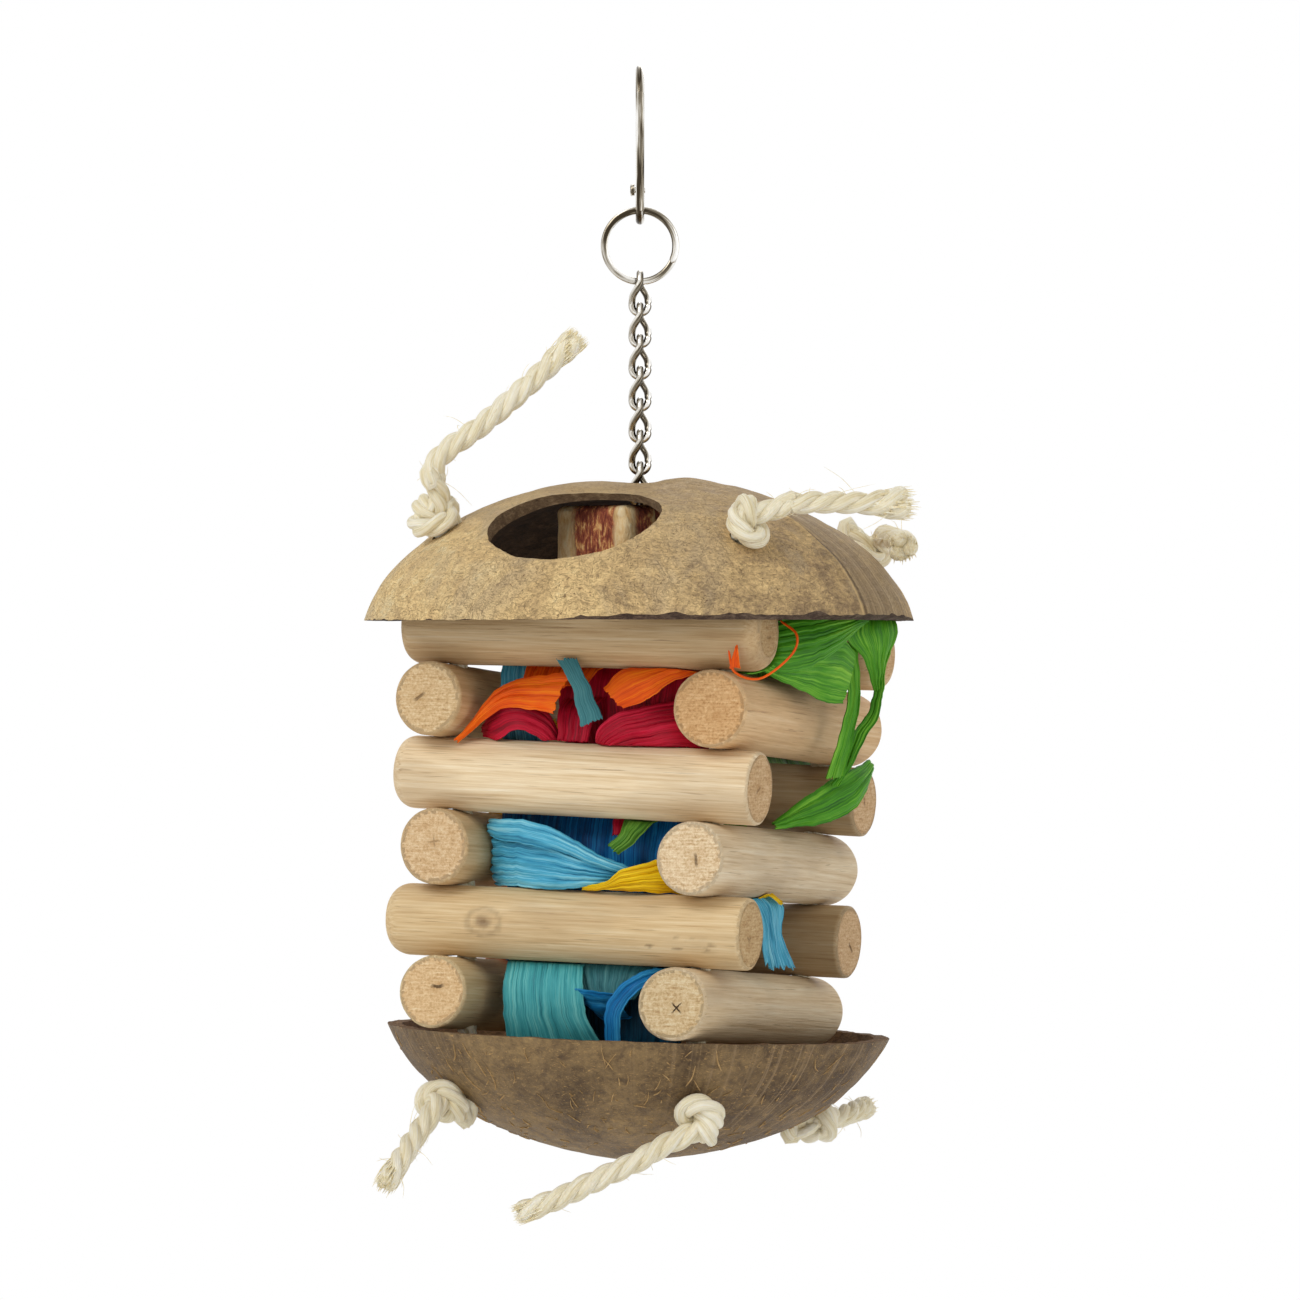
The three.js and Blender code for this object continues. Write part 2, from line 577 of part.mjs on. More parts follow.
// The top layer goes up until a stick's end meets the inside of the roof
const topSticks = Object.values(sticks).filter((stick) => stick.layer === 0);
const stackRooms = topSticks.flatMap(stickSurface).map((point) => {
  const p = point.applyMatrix4(slant).add(vector(STACK_SHIFT_X, STACK_SHIFT_Y, 0));
  const reach = roofReach(p);
  const ceiling = reach < ROOF_RADIUS - SHELL_WALL ? roofInside(reach) : 0;
  return reach < ROOF_RADIUS ? roofRim + ceiling - GAP - p.z : Infinity;
});
const stackZ = Math.min(...stackRooms);
const stack = new THREE.Group();
stack.rotation.copy(stackTurn);
stack.position.set(STACK_SHIFT_X, STACK_SHIFT_Y, stackZ);
stack.updateMatrix();
hut.add(stack);

const CORNERS = SIDES.flatMap((cy) => SIDES.map((cx) => [cx, cy]));
const ropeHoleRadius = ROPE_DIAMETER / 2 + ROPE_HOLE_CLEARANCE;

function ropeBore(cx, cy, low, high) {
  return rod(ropeAt(cx, cy, low), ropeAt(cx, cy, high), ropeHoleRadius, CORD_SIDES);
}

function stickGeometry(stick) {
  const half = STICK_LENGTH / 2;
  const profile = [
    [0, -half],
    [stick.radius - STICK_CHAMFER, -half],
    [stick.radius, STICK_CHAMFER - half],
    [stick.radius, half - STICK_CHAMFER],
    [stick.radius - STICK_CHAMFER, half],
    [0, half],
  ].map(([r, z]) => new THREE.Vector2(r, z));
  const turn = new THREE.Quaternion().setFromUnitVectors(vector(0, 1, 0), stick.axis);
  const log = new THREE.LatheGeometry(profile, STICK_SIDES).applyQuaternion(turn);
  log.translate(stick.middle.x, stick.middle.y, stick.middle.z);
  const below = Object.values(sticks).filter((other) => other.layer === stick.layer + 1);
  const saddles = below.map((other) => {
    const ends = SIDES.map((end) => other.middle.clone().addScaledVector(other.axis, end * STICK_LENGTH));
    return rod(...ends, other.radius + GAP, STICK_SIDES);
  });
  const bores = CORNERS.map(([cx, cy]) => ropeBore(cx, cy, -stackHeight, 2 * stackHeight));
  return cut(log, [...saddles, ...bores]);
}

for (const [name, stick] of Object.entries(sticks)) {
  add(stack, name, stickGeometry(stick), wood);
}

// Bowl, under the lowest sticks
const bowl = new THREE.Group();
bowl.rotation.set(radians(BOWL_SLANT_BACK), radians(BOWL_SLANT_RIGHT), 0);
bowl.position.set(BOWL_SHIFT_X, BOWL_SHIFT_Y, stackZ);
bowl.updateMatrix();
const intoBowl = bowl.matrix.clone().invert();
const lowSticks = Object.values(sticks).filter((stick) => stick.layer === bottomLayer);
const bowlRooms = lowSticks.flatMap(stickSurface).map((point) => {
  const p = point.applyMatrix4(stack.matrix).applyMatrix4(intoBowl);
  const reach = Math.hypot(p.x, p.y);
  const floor = reach < BOWL_RADIUS - SHELL_WALL ? -bowlInside(reach) : 0;
  return reach < BOWL_RADIUS ? p.z - floor - GAP : Infinity;
});
bowl.position.z += Math.min(...bowlRooms);
bowl.updateMatrix();
intoBowl.copy(bowl.matrix).invert();
hut.add(bowl);

function bowlUnder(point) {
  const p = point.clone().applyMatrix4(intoBowl);
  return -p.z - bowlOutside(Math.hypot(p.x, p.y));
}

// Under the lowest sticks each rope slants to its hole in the bowl
function ropeFoot(cx, cy) {
  const under = radiusOf(bottomLayer, cx) + ROPE_DIAMETER / 2;
  return ropeAt(cx, cy, -under).applyMatrix4(stack.matrix);
}

function bowlExit(cx, cy) {
  const [spreadX, spreadY] = BOWL_HOLE_SPREAD;
  const x = cx * spreadX;
  const y = cy * spreadY + BOWL_HOLE_SHIFT_Y;
  return vector(x, y, -bowlOutside(Math.hypot(x, y))).applyMatrix4(bowl.matrix);
}

const lowBores = CORNERS.map(([cx, cy]) => {
  const foot = ropeFoot(cx, cy);
  const beyond = foot.clone().lerp(bowlExit(cx, cy), 2);
  return rod(foot, beyond, ropeHoleRadius, CORD_SIDES).applyMatrix4(intoBowl);
});
const bowlCap = shellCap(BOWL_RADIUS, bowlOutside, bowlInside).rotateX(Math.PI);
add(bowl, 'coconut_bowl', cut(bowlCap, lowBores), bowlShell);

const holeAxis = vector(0, -Math.sin(radians(FORAGING_HOLE_SLANT)), Math.cos(radians(FORAGING_HOLE_SLANT)));
const holeMiddle = vector(0, -FORAGING_HOLE_REACH, roofRim + roofInside(FORAGING_HOLE_REACH));
const foragingHole = rod(
  holeMiddle.clone().addScaledVector(holeAxis, -ROOF_HEIGHT / 2),
  holeMiddle.clone().addScaledVector(holeAxis, ROOF_HEIGHT),
  FORAGING_HOLE_DIAMETER / 2,
  32,
);
const chainHole = rod(
  onAxis(roofRim + ROOF_HEIGHT / 2),
  onAxis(roofRim + 2 * ROOF_HEIGHT),
  CHAIN_HOLE_DIAMETER / 2,
);
const roofCap = shellCap(ROOF_RADIUS, roofOutside, roofInside)
  .scale(1, ROOF_OVAL, 1)
  .translate(0, 0, roofRim);
const highBores = CORNERS.map(([cx, cy]) => (
  ropeBore(cx, cy, stackHeight, 2 * stackHeight).applyMatrix4(stack.matrix)
));
add(hut, 'coconut_roof', cut(roofCap, [foragingHole, chainHole, ...highBores]), shell);

// Ropes: a run through the corner, with a knot over the roof and one under the bowl
function crossing(from, to, outside) {
  let [near, far] = [0, 1];
  for (let i = 0; i < 40; i += 1) {
    const middle = (near + far) / 2;
    if (outside(from.clone().lerp(to, middle)) > 0) {
      far = middle;
    } else {
      near = middle;
    }
  }
  return from.clone().lerp(to, far);
}

function slopeAt(point, outside) {
  const STEP = 0.01;
  const rise = ['x', 'y', 'z'].map((key) => {
    const moved = point.clone();
    moved[key] += STEP;
    return outside(moved) - outside(point);
  });
  return vector(...rise).normalize();
}

function knotOver(exit, outside) {
  return exit.clone().addScaledVector(slopeAt(exit, outside), KNOT_DIAMETER / 2 + GAP);
}

const upright = (p, along) => vector(1, 0, 0).cross(along);
const cordSection = oval(ROPE_DIAMETER, ROPE_DIAMETER, CORD_SIDES);

function cord(points) {
  const curve = new THREE.CatmullRomCurve3(points);
  const steps = Math.ceil(curve.getLength() / (CORD_STEP * ROPE_DIAMETER));
  return sweep(curve.getSpacedPoints(steps), cordSection, upright);
}

for (const [cx, cy] of CORNERS) {
  const corner = `${cy < 0 ? 'front' : 'back'}_${cx < 0 ? 'left' : 'right'}`;
  const foot = ropeFoot(cx, cy);
  const high = ropeAt(cx, cy, 2 * stackHeight).applyMatrix4(stack.matrix);
  const roofExit = crossing(foot, high, roofOver);
  const ends = {
    roof: knotOver(roofExit, roofOver),
    bowl: knotOver(bowlExit(cx, cy), bowlUnder),
  };
  const run = [ends.bowl, bowlExit(cx, cy), foot, roofExit, ends.roof];
  const knots = Object.values(ends).map((centre) => new THREE.SphereGeometry(KNOT_DIAMETER / 2, 10, 7)
    .translate(centre.x, centre.y, centre.z));
  const runTube = sweep(run, cordSection, acrossView);
  add(hut, `rope_${corner}`, join([runTube, ...knots]), sisal);
  for (const [end, centre] of Object.entries(ends)) {
    const route = TAILS[`${end}_${corner}`].map((p) => vector(...p));
    const way = route[0].clone().sub(centre).normalize();
    const start = centre.clone().addScaledVector(way, KNOT_DIAMETER / 2 + GAP);
    const straight = start.clone().addScaledVector(way, ROPE_DIAMETER);
    add(hut, `tail_${end}_${corner}`, cord([start, straight, ...route]), sisal);
  }
}

// Husk leaves, in the stack
function stickAt(stick, place) {
  const key = STICK_PAIRS[stick.layer].along;
  const share = (place - stick.middle[key]) / stick.axis[key];
  return stick.middle.clone().addScaledVector(stick.axis, share);
}

// A leaf's outline at a place along its sticks, as distances outward and up
function leafOutline(leaf, place, swell) {
  const seat = (name) => {
    const stick = sticks[name];
    const middle = stickAt(stick, place);
    const out = (STICK_PAIRS[stick.layer].along === 'x' ? middle.y : middle.x) * stick.side;
    return { out, up: middle.z, reach: stick.radius + HUSK_THICKNESS / 2 + SOFT_GAP };
  };
  const round = ({ out, up, reach }, degrees) => {
    const angle = radians(degrees);
    return [out + reach * Math.cos(angle), up + reach * Math.sin(angle)];
  };
  if (leaf.over) {
    const on = seat(leaf.over);
    const side = on.out + on.reach;
    return [
      ...HUSK_DRAPE.map((degrees) => round(on, degrees)),
      [side + leaf.flare / 3, on.up - leaf.drop / 3],
      [side + leaf.flare, on.up - leaf.drop],
    ];
  }
  const above = leaf.upper && seat(leaf.upper);
  const below = leaf.lower && seat(leaf.lower);
  const hugUpper = above ? HUSK_HUG.map((degrees) => round(above, 180 + degrees)) : [];
  const hugLower = below ? HUSK_HUG.map((degrees) => round(below, 180 - degrees)).reverse() : [];
  if (above && below) {
    const middle = [(above.out + below.out) / 2 + swell, (above.up + below.up) / 2];
    return [...hugUpper, middle, ...hugLower];
  }
  const on = above ?? below;
  const away = above ? -1 : 1;
  const edge = on.up + away * on.reach;
  const turned = [
    [on.out + swell, edge + away * leaf.drop * 0.6],
    [on.out + swell - leaf.drop * 0.6, edge + away * leaf.drop],
    [on.out + swell - leaf.drop * 1.4, edge + away * leaf.drop],
  ];
  return above ? [...hugUpper, ...turned] : [...turned.reverse(), ...hugLower];
}

function leafGeometry(leaf) {
  const { layer, side } = sticks[leaf.upper ?? leaf.lower ?? leaf.over];
  const alongX = STICK_PAIRS[layer].along === 'x';
  const columns = Math.max(Math.round((leaf.to - leaf.from) / HUSK_COLUMN), 2);
  const lines = Array.from({ length: columns + 1 }, (_, j) => {
    const place = THREE.MathUtils.lerp(leaf.from, leaf.to, j / columns);
    const swell = (leaf.swell ?? 0) + (j % 2 ? HUSK_PLEAT : -HUSK_PLEAT);
    const points = leafOutline(leaf, place, swell).map(([out, up]) => (
      alongX ? vector(place, side * out, up) : vector(side * out, place, up)
    ));
    const steps = points.length + 2;
    return new THREE.CatmullRomCurve3(points).getPoints(steps);
  });
  const rows = lines[0].map((_, i) => lines.map((line) => line[i]));
  return slab(rows, HUSK_THICKNESS);
}

for (const leaf of LEAVES) {
  add(stack, `husk_${leaf.name}`, leafGeometry(leaf), husks[leaf.name.split('_')[0]]);
}

export default hut;
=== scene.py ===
import math
import random

import bmesh
import bpy
import numpy as np
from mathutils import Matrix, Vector, noise


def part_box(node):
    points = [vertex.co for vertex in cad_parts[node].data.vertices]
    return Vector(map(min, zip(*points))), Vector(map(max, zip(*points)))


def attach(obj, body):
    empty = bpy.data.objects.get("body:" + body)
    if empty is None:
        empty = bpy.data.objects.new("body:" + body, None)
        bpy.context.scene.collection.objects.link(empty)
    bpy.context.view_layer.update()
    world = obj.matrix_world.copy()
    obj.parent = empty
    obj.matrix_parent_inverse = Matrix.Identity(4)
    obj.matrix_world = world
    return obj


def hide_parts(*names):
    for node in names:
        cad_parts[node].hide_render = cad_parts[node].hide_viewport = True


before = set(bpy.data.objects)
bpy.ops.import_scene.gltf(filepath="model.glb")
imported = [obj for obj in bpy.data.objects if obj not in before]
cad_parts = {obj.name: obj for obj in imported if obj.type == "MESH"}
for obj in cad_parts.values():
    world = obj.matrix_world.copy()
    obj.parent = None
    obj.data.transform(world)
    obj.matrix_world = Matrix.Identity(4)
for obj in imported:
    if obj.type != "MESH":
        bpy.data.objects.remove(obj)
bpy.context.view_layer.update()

# Bird foraging hut: the looks of its shells, sticks, ropes, husk leaves and hanger.
# Lengths are millimetres in this script, and become metres where a mesh is made.
MM = 0.001
UP = np.array([0.0, 0.0, 1.0])
CORNERS = ("front_left", "front_right", "back_left", "back_right")

# Camera, level with the hut's middle, and the studio
VIEW_TURN = math.radians(22.5)
RIGHT = np.array([math.cos(VIEW_TURN), math.sin(VIEW_TURN), 0.0])
AWAY = np.array([-math.sin(VIEW_TURN), math.cos(VIEW_TURN), 0.0])
CAMERA_DISTANCE = 1836.7
CAMERA_RIGHT = 2.55
CAMERA_HEIGHT = -146.9
CAMERA_LENS = 199.4
CAMERA_SENSOR = 36.0
CAMERA_REACH = 20000.0
LAMPS = {  # places to the right, away and up; size in metres; watts
    "key": (-900, -1100, 900, 0.9, 13.0),
    "fill": (1300, -900, 100, 1.2, 4.0),
    "rim": (300, 1300, 700, 1.0, 6.0),
}
FLOOR_HEIGHT = -400.0
FLOOR_RADIUS = 6000.0
FLOOR_SIDES = 96
FLOOR_FADE = (250.0, 900.0)  # the floor turns plain white between these distances

# Clip, ring and chain
CLIP_WIRE = 2.2
CLIP_HEIGHT = 40.6
CLIP_TOP_RADIUS = 8.0
CLIP_BOTTOM_RADIUS = 4.6
RIVET_RISE = 4.1
RIVET_HEAD = 3.4
RIVET_HEAD_HEIGHT = 1.1
RIVET_SHANK = 0.8
NOSE_LENGTH = 3.0
EYE_RADIUS = 2.4
EYE_SOFT = 0.25
GATE_WIRE = 2.0
GATE_START = 2.2
GAP = 0.3
RING_MIDDLE = 9.1
RING_DEPTH = 1.8
RING_WIDTH = 1.1
RING_PITCH = 1.6
RING_FIRST_END = -28.0
RING_TURN = 540.0
RING_LAYER_CHANGE = (208.0, 325.0)
LINK_COUNT = 8
LINK_WIRE = 1.8
LINK_WIDTH = 5.9
LINK_LENGTH = 12.0
LINK_CUT = 0.36  # where the link's wire ends meet, as a share of its way round

# Anchor block
BLOCK_SIZE = np.array([26.0, 36.0, 24.0])
BLOCK_TURN = math.radians(22.5 - 45.5)
BLOCK_MOUTH = 11.0
BLOCK_MOUTH_DEPTH = 3.0
BLOCK_BORE = 6.6
BLOCK_BORE_DEPTH = 12.0
BLOCK_STEP = 0.8
BLOCK_ROUND = 2.2
# Bare wood patches at the block's corners; the wider (-13, -18) patch is partly painted light on that lit
# edge.
BARE_AND_LIT_CORNERS = [(13.0, -18.0, 4.6), (-13.0, -18.0, 8.5), (13.0, 18.0, 5.0), (-13.0, 18.0, 5.0)]
PIN_RADIUS = 0.9
PIN_SHORTER = 0.6
CUT_OVER = 2.0

# Coconut shells
SHELL_WALL = 3.5
SHELL_ROWS = 84
SHELL_SIDES = 260
SHELL_OUT = np.array([1, 1, 1.6])  # stretches a place on a shell into a way out of it
RIM_CIRCLE = 60.0
ROOF = {"rim": 69.6, "height": 35.0, "equator": 13.0, "power": 2.4}
ROOF_OVAL = 1.03
ROOF_RIDGE = math.radians(-14.0)
ROOF_BROKEN = math.radians(-32.0)
CHAIN_HOLE = 13.0
CHAIN_CUT = (17.0, 60.0)  # from and to these heights over the rim
FORAGING_HOLE = 44.0
FORAGING_CUT = (17.0, 30.0)  # this far inwards and outwards
FORAGING_REACH = 42.0
FORAGING_SLANT = math.radians(24.0)
BOWL = {"rim": 63.4, "height": 31.7, "equator": 18.0, "power": 2.2}
BOWL_SLANT = (math.radians(-1.0), math.radians(1.5))
BOWL_SHIFT = np.array([-1.0, 1.0, 0.0])
BOWL_FIBRES = 340
FIBRE_LIFT = 0.12
FIBRE_MARGIN = 0.3

# Ropes
ROPE_DIAMETER = 5.6
ROPE_HOLE = 6.2
ROPE_CUT = 14.0
ROPE_PITCH = 17.0
ROPE_STEP = 0.7
STRAND_OFFSET = 1.4
STRAND_RADIUS = 1.5
FLARE_LENGTH = 12.0
KNOT_DIAMETER = 11.6
KNOT_UNIT = 4.2
KNOT_WAY = [  # across, away from the tail, out of the shell
    (0, 0.05, -2.6), (0, 0.05, -1.3), (0.05, 0.12, -0.3), (0.28, 0.2, 0.5), (0.85, 0.1, 0.6),
    (1.1, -0.15, -0.2), (0.75, -0.6, -0.75), (-0.1, -0.9, -0.85), (-0.9, -0.4, -0.7), (-0.9, 0.5, -0.45),
    (-0.1, 0.98, -0.1), (0.6, 0.62, 0.15),
]
TUCK_WAY = [(0.6, 0.62, 0.15), (0.52, -0.1, 0.05), (0.3, -0.95, 0.3)]
TAILS = {
    "roof_front_left": [
        (-40.6, -39.6, -105), (-39, -40, -99.5), (-35.5, -38, -95.5), (-30, -34.6, -91),
        (-23.3, -30.2, -84.3), (-16.5, -25.8, -77), (-8.6, -20.9, -68),
    ],
    "roof_front_right": [(54, -33, -110.5), (62, -26.3, -110.2), (70, -20, -110.4), (77.4, -13.4, -110.3)],
    "roof_back_left": [(-47, 56, -121), (-51, 64, -123.5), (-54, 71, -126), (-56, 76, -128.5)],
    "roof_back_right": [(52.5, 37, -117.5), (58.5, 29.5, -118.5), (63, 22.5, -119.5), (65.5, 15.5, -121)],
    "bowl_front_left": [(-38, -54, -268), (-38.6, -60, -272.5), (-39.3, -65, -276.5), (-40.1, -69, -280.1)],
    "bowl_front_right": [(21, -49.5, -273), (9.9, -53, -278.5), (1.3, -55.5, -282.8), (-8.8, -57.8, -286.9)],
    "bowl_back_left": [(-38.5, 49, -268.5), (-40, 56, -270), (-41, 62, -272), (-42, 68, -274.5)],
    "bowl_back_right": [(37, 50, -267.5), (37, 56.5, -267), (36.5, 62.5, -266.8), (36, 68.5, -266.5)],
}
FLARES = {"roof_front_right": 0.55, "roof_back_right": 0.45, "roof_front_left": 0.2}
LEAST_FLARE = 0.04
WIDE_FLARE = 0.1
BRUSH_FIBRES = 150
NARROW_BRUSH_FIBRES = 70
LOOSE_FIBRES = 20
SHORT_FIBRES = 15

# Sticks
STICK_RINGS = 130
STICK_SIDES = 96
STICK_ROOM = 0.12
SAWN = 0.9
END_STEPS = 12
PITH_OFF = 2.2
STICKS = {  # tints of side and end, where the side tints are partly each stick's own tone and partly painted shade, darkest on stick_1_front under the roof and on the back sticks; how open the pith is, its arms; how far each end is rounded
    "stick_1_front": ((0.72, 0.67, 0.59), (0.7, 0.68, 0.6), 0.3, 2, 3.5, 4.5),
    "stick_1_back": ((0.8, 0.74, 0.66), (0.86, 0.81, 0.76), 0.3, 2, 1.0, 4.0),
    "stick_2_left": ((0.8, 0.74, 0.64), (1.0, 1.02, 1.0), 0.55, 2, SAWN, SAWN),
    "stick_2_right": ((0.83, 0.74, 0.64), (0.94, 0.81, 0.67), 0.0, 2, 1.0, 3.5),
    "stick_3_front": ((1.03, 1.08, 1.14), (0.86, 0.82, 0.78), 0.3, 2, 4.0, 1.0),
    "stick_3_back": ((0.6, 0.58, 0.53), (0.88, 0.84, 0.82), 0.45, 2, SAWN, SAWN),
    "stick_4_left": ((0.8, 0.77, 0.7), (1.0, 1.0, 1.0), 0.25, 4, SAWN, SAWN),
    "stick_4_right": ((0.87, 0.93, 1.02), (1.12, 1.22, 1.36), 0.6, 2, 0.9, 5.5),
    "stick_5_front": ((0.88, 0.87, 0.8), (0.8, 0.78, 0.7), 0.35, 3, 5.0, 1.2),
    "stick_5_back": ((0.58, 0.56, 0.52), (0.86, 0.83, 0.82), 0.6, 2, SAWN, SAWN),
    "stick_6_left": ((0.84, 0.86, 0.8), (1.05, 1.04, 1.0), 0.8, 2, SAWN, SAWN),
    "stick_6_right": ((0.86, 0.9, 0.95), (0.95, 1.02, 1.04), 1.0, 4, 1.0, 4.5),
}
KNOTTY_STICK = "stick_5_front"
STICK_KNOT = (28.5, 176.0, 4.8)  # place along the stick, angle round it, reach
STICK_SPECKS = (80.0, 200.0, 14.0)
WELD = 0.02

# Leaves
LEAF_ROWS = 40
LEAF_HALF = 0.16
LEAF_ROOM = 0.35
THREAD_RADIUS = 0.32


def unit(v):
    """The vectors scaled to length one."""
    return v / np.maximum(np.linalg.norm(v, axis=-1, keepdims=True), 1e-9)


def smoothstep(value, low, high):
    """0 before low, 1 after high, eased between."""
    t = np.clip((np.asarray(value, float) - low) / (high - low), 0, 1)
    return t * t * (3 - 2 * t)


def bell(value, width, other=0.0, other_width=1.0):
    """1 at zero, falling away over a width, in one direction or two."""
    return np.exp(-((value / width) ** 2) - (other / other_width) ** 2)


def ripple(points, size, seed=0.0):
    """Smooth noise from -1 to 1 at each point, with waves of about that size."""
    flat = np.asarray(points, float).reshape(-1, 3) / size + seed
    values = [noise.noise(Vector(p)) for p in flat]
    return np.array(values).reshape(np.shape(points)[:-1])


def ripples(points, *layers):
    """Smooth noise added up from layers, each a strength, a size and a seed."""
    return sum(strength * ripple(points, size, seed) for strength, size, seed in layers)


def round_turn(count):
    """Angles spaced evenly round a circle."""
    return np.linspace(0, 2 * math.pi, count, endpoint=False)


def rolled(radius, turn, height):
    """Points round the Z axis, from their distances, angles and heights."""
    return np.stack(np.broadcast_arrays(radius * np.cos(turn), radius * np.sin(turn), height), axis=-1)


def turn_about(axis, angle):
    """A turn about X, Y or Z."""
    a, b = (axis + 1) % 3, (axis + 2) % 3
    matrix = np.eye(3)
    matrix[a, a] = matrix[b, b] = math.cos(angle)
    matrix[b, a] = math.sin(angle)
    matrix[a, b] = -math.sin(angle)
    return matrix


def corners(node):
    """A CAD node's vertices."""
    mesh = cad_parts[node].data
    spots = np.empty(len(mesh.vertices) * 3)
    mesh.vertices.foreach_get("co", spots)
    return spots.reshape(-1, 3) / MM


def node_box(node):
    """A CAD node's lowest and highest corners."""
    return [np.array(p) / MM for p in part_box(node)]


def way(path):
    """Distance along a path at each of its points."""
    return np.r_[0, np.cumsum(np.linalg.norm(np.diff(path, axis=0), axis=1))]


def spline(points, step=0.0, count=0):
    """Evenly spaced points on a smooth curve through the given ones."""
    p = np.array(points, float)
    p = np.vstack([2 * p[0] - p[1], p, 2 * p[-1] - p[-2]])
    t = np.linspace(0, 1, 32, endpoint=False)[:, None]
    fine = []
    for a, b, c, d in zip(p, p[1:], p[2:], p[3:]):
        cubic = (3 * b - a - 3 * c + d) * t**3
        fine.append(0.5 * (2 * b + (c - a) * t + (2 * a - 5 * b + 4 * c - d) * t**2 + cubic))
    fine = np.vstack(fine + [p[-2:-1]])
    reach = way(fine)
    count = count or max(int(reach[-1] / step), 4)
    places = np.linspace(0, reach[-1], count + 1)
    return np.column_stack([np.interp(places, reach, fine[:, k]) for k in range(3)])


def carried_frames(path):
    """Directions along, beside and over a path, turned as little as they can be."""
    along = unit(np.gradient(path, axis=0))
    start = np.eye(3)[np.argmin(abs(along[0]))]
    side = [unit(start - along[0] * (start @ along[0]))]
    for a in along[1:]:
        side.append(unit(side[-1] - a * (side[-1] @ a)))
    side = np.array(side)
    return along, side, np.cross(along, side)


class Shape:
    """Vertices, faces, finishes and grain gathered for one piece. Grain runs along its third axis."""

    def __init__(self):
        self.points, self.faces, self.finish, self.grain, self.mark = [], [], [], [], []
        self.count = 0

    def add(self, points, faces, finish=0, grain=None, mark=None):
        points = np.asarray(points, float).reshape(-1, 3)
        self.points.append(points)
        self.grain.append(points if grain is None else np.asarray(grain, float).reshape(-1, 3))
        self.mark.append(np.zeros(len(points)) if mark is None else np.asarray(mark, float).ravel())
        self.faces += [tuple(int(i) + self.count for i in face) for face in faces]
        self.finish += [finish] * len(faces)
        self.count += len(points)


def grid_faces(rows, columns, wrap=False):
    """Faces of a grid of points, closed round its columns if wrap is set."""
    faces = []
    for a in range(0, (rows - 1) * columns, columns):
        b = a + columns
        for j in range(columns if wrap else columns - 1):
            k = (j + 1) % columns
            faces.append((a + j, a + k, b + k, b + j))
    return faces


def capped_faces(rows, sides):
    """Faces of a round body and of its two ends."""
    last = tuple(range((rows - 1) * sides, rows * sides))
    return grid_faces(rows, sides, True) + [tuple(range(sides))[::-1], last]


def flipped(faces):
    """The faces turned over."""
    return [face[::-1] for face in faces]


def tube(shape, path, radius, sides=10, section=None, closed=False, frames=None, seed=0.0):
    """A round or sectioned tube along a path, with round ends."""
    path = np.asarray(path, float)
    count = len(path)
    radius = np.broadcast_to(np.asarray(radius, float), (count,)).copy()
    _, side, over = frames or carried_frames(path)
    ring = rolled(1.0, round_turn(sides), 0.0)[:, :2] if section is None else section
    sides = len(ring)
    if closed:
        faces = [tuple(i % (count * sides) for i in face) for face in grid_faces(count + 1, sides, True)]
    else:
        faces = capped_faces(count, sides)
        ease = np.array([0.35, 0.75, 0.94])
        radius[:3] *= ease
        radius[-3:] *= ease[::-1]
    flat = radius[:, None, None] * ring
    points = path[:, None] + flat[..., :1] * side[:, None] + flat[..., 1:] * over[:, None]
    reach = np.broadcast_to(way(path)[:, None, None] + seed, (count, sides, 1))
    shape.add(points, faces, 0, np.concatenate([flat, reach], axis=2))


def lathe(shape, profile, foot, axis, sides=32):
    """A round body from (radius, height) pairs along an axis."""
    axis = unit(np.asarray(axis, float))
    side = unit(np.cross(axis, np.eye(3)[np.argmin(abs(axis))]))
    over = np.cross(axis, side)
    turn = round_turn(sides)[:, None]
    rows = [foot + axis * h + r * (np.cos(turn) * side + np.sin(turn) * over) for r, h in profile]
    shape.add(np.vstack(rows), capped_faces(len(rows), sides))


def link_object(name, data):
    """A new object in the scene."""
    obj = bpy.data.objects.new(name, data)
    bpy.context.scene.collection.objects.link(obj)
    return obj


def new_mesh(name, points, faces):
    """A mesh from points in millimetres."""
    mesh = bpy.data.meshes.new(name)
    mesh.from_pydata((np.vstack(points) * MM).tolist(), [], faces)
    return mesh


def piece(name, shape, materials, node=None, body="hut"):
    """A mesh object that rides on a body and may stand for a CAD node."""
    mesh = new_mesh(name, shape.points, shape.faces)
    grain = mesh.attributes.new("grain", "FLOAT_VECTOR", "POINT")
    grain.data.foreach_set("vector", np.vstack(shape.grain).ravel())
    mark = mesh.attributes.new("mark", "FLOAT", "POINT")
    mark.data.foreach_set("value", np.concatenate(shape.mark))
    for material in materials:
        mesh.materials.append(material)
    mesh.polygons.foreach_set("material_index", shape.finish)
    mesh.shade_smooth()
    mesh.set_sharp_from_angle(angle=math.radians(50))
    mesh.update()
    obj = link_object(name, mesh)
    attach(obj, body)
    if node:
        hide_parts(node)
    return obj


# Materials
def rgb(red, green, blue):
    """A screen colour as the linear colour that a shader takes."""
    return tuple(((c / 255 + 0.055) / 1.055) ** 2.4 for c in (red, green, blue)) + (1.0,)


class Nodes:
    """The shader nodes of a material or a world."""

    def __init__(self, owner):
        owner.use_nodes = True
        self.tree = owner.node_tree

    def put(self, socket, value):
        if isinstance(value, bpy.types.NodeSocket):
            self.tree.links.new(value, socket)
        else:
            socket.default_value = value

    def node(self, kind, inputs=(), output=0, **settings):
        made = self.tree.nodes.new("ShaderNode" + kind)
        for key, value in settings.items():
            setattr(made, key, value)
        for key, value in dict(inputs).items():
            self.put(made.inputs[key], value)
        return made.outputs[output]

    def math(self, operation, a, b=0.0):
        return self.node("Math", {0: a, 1: b}, operation=operation)


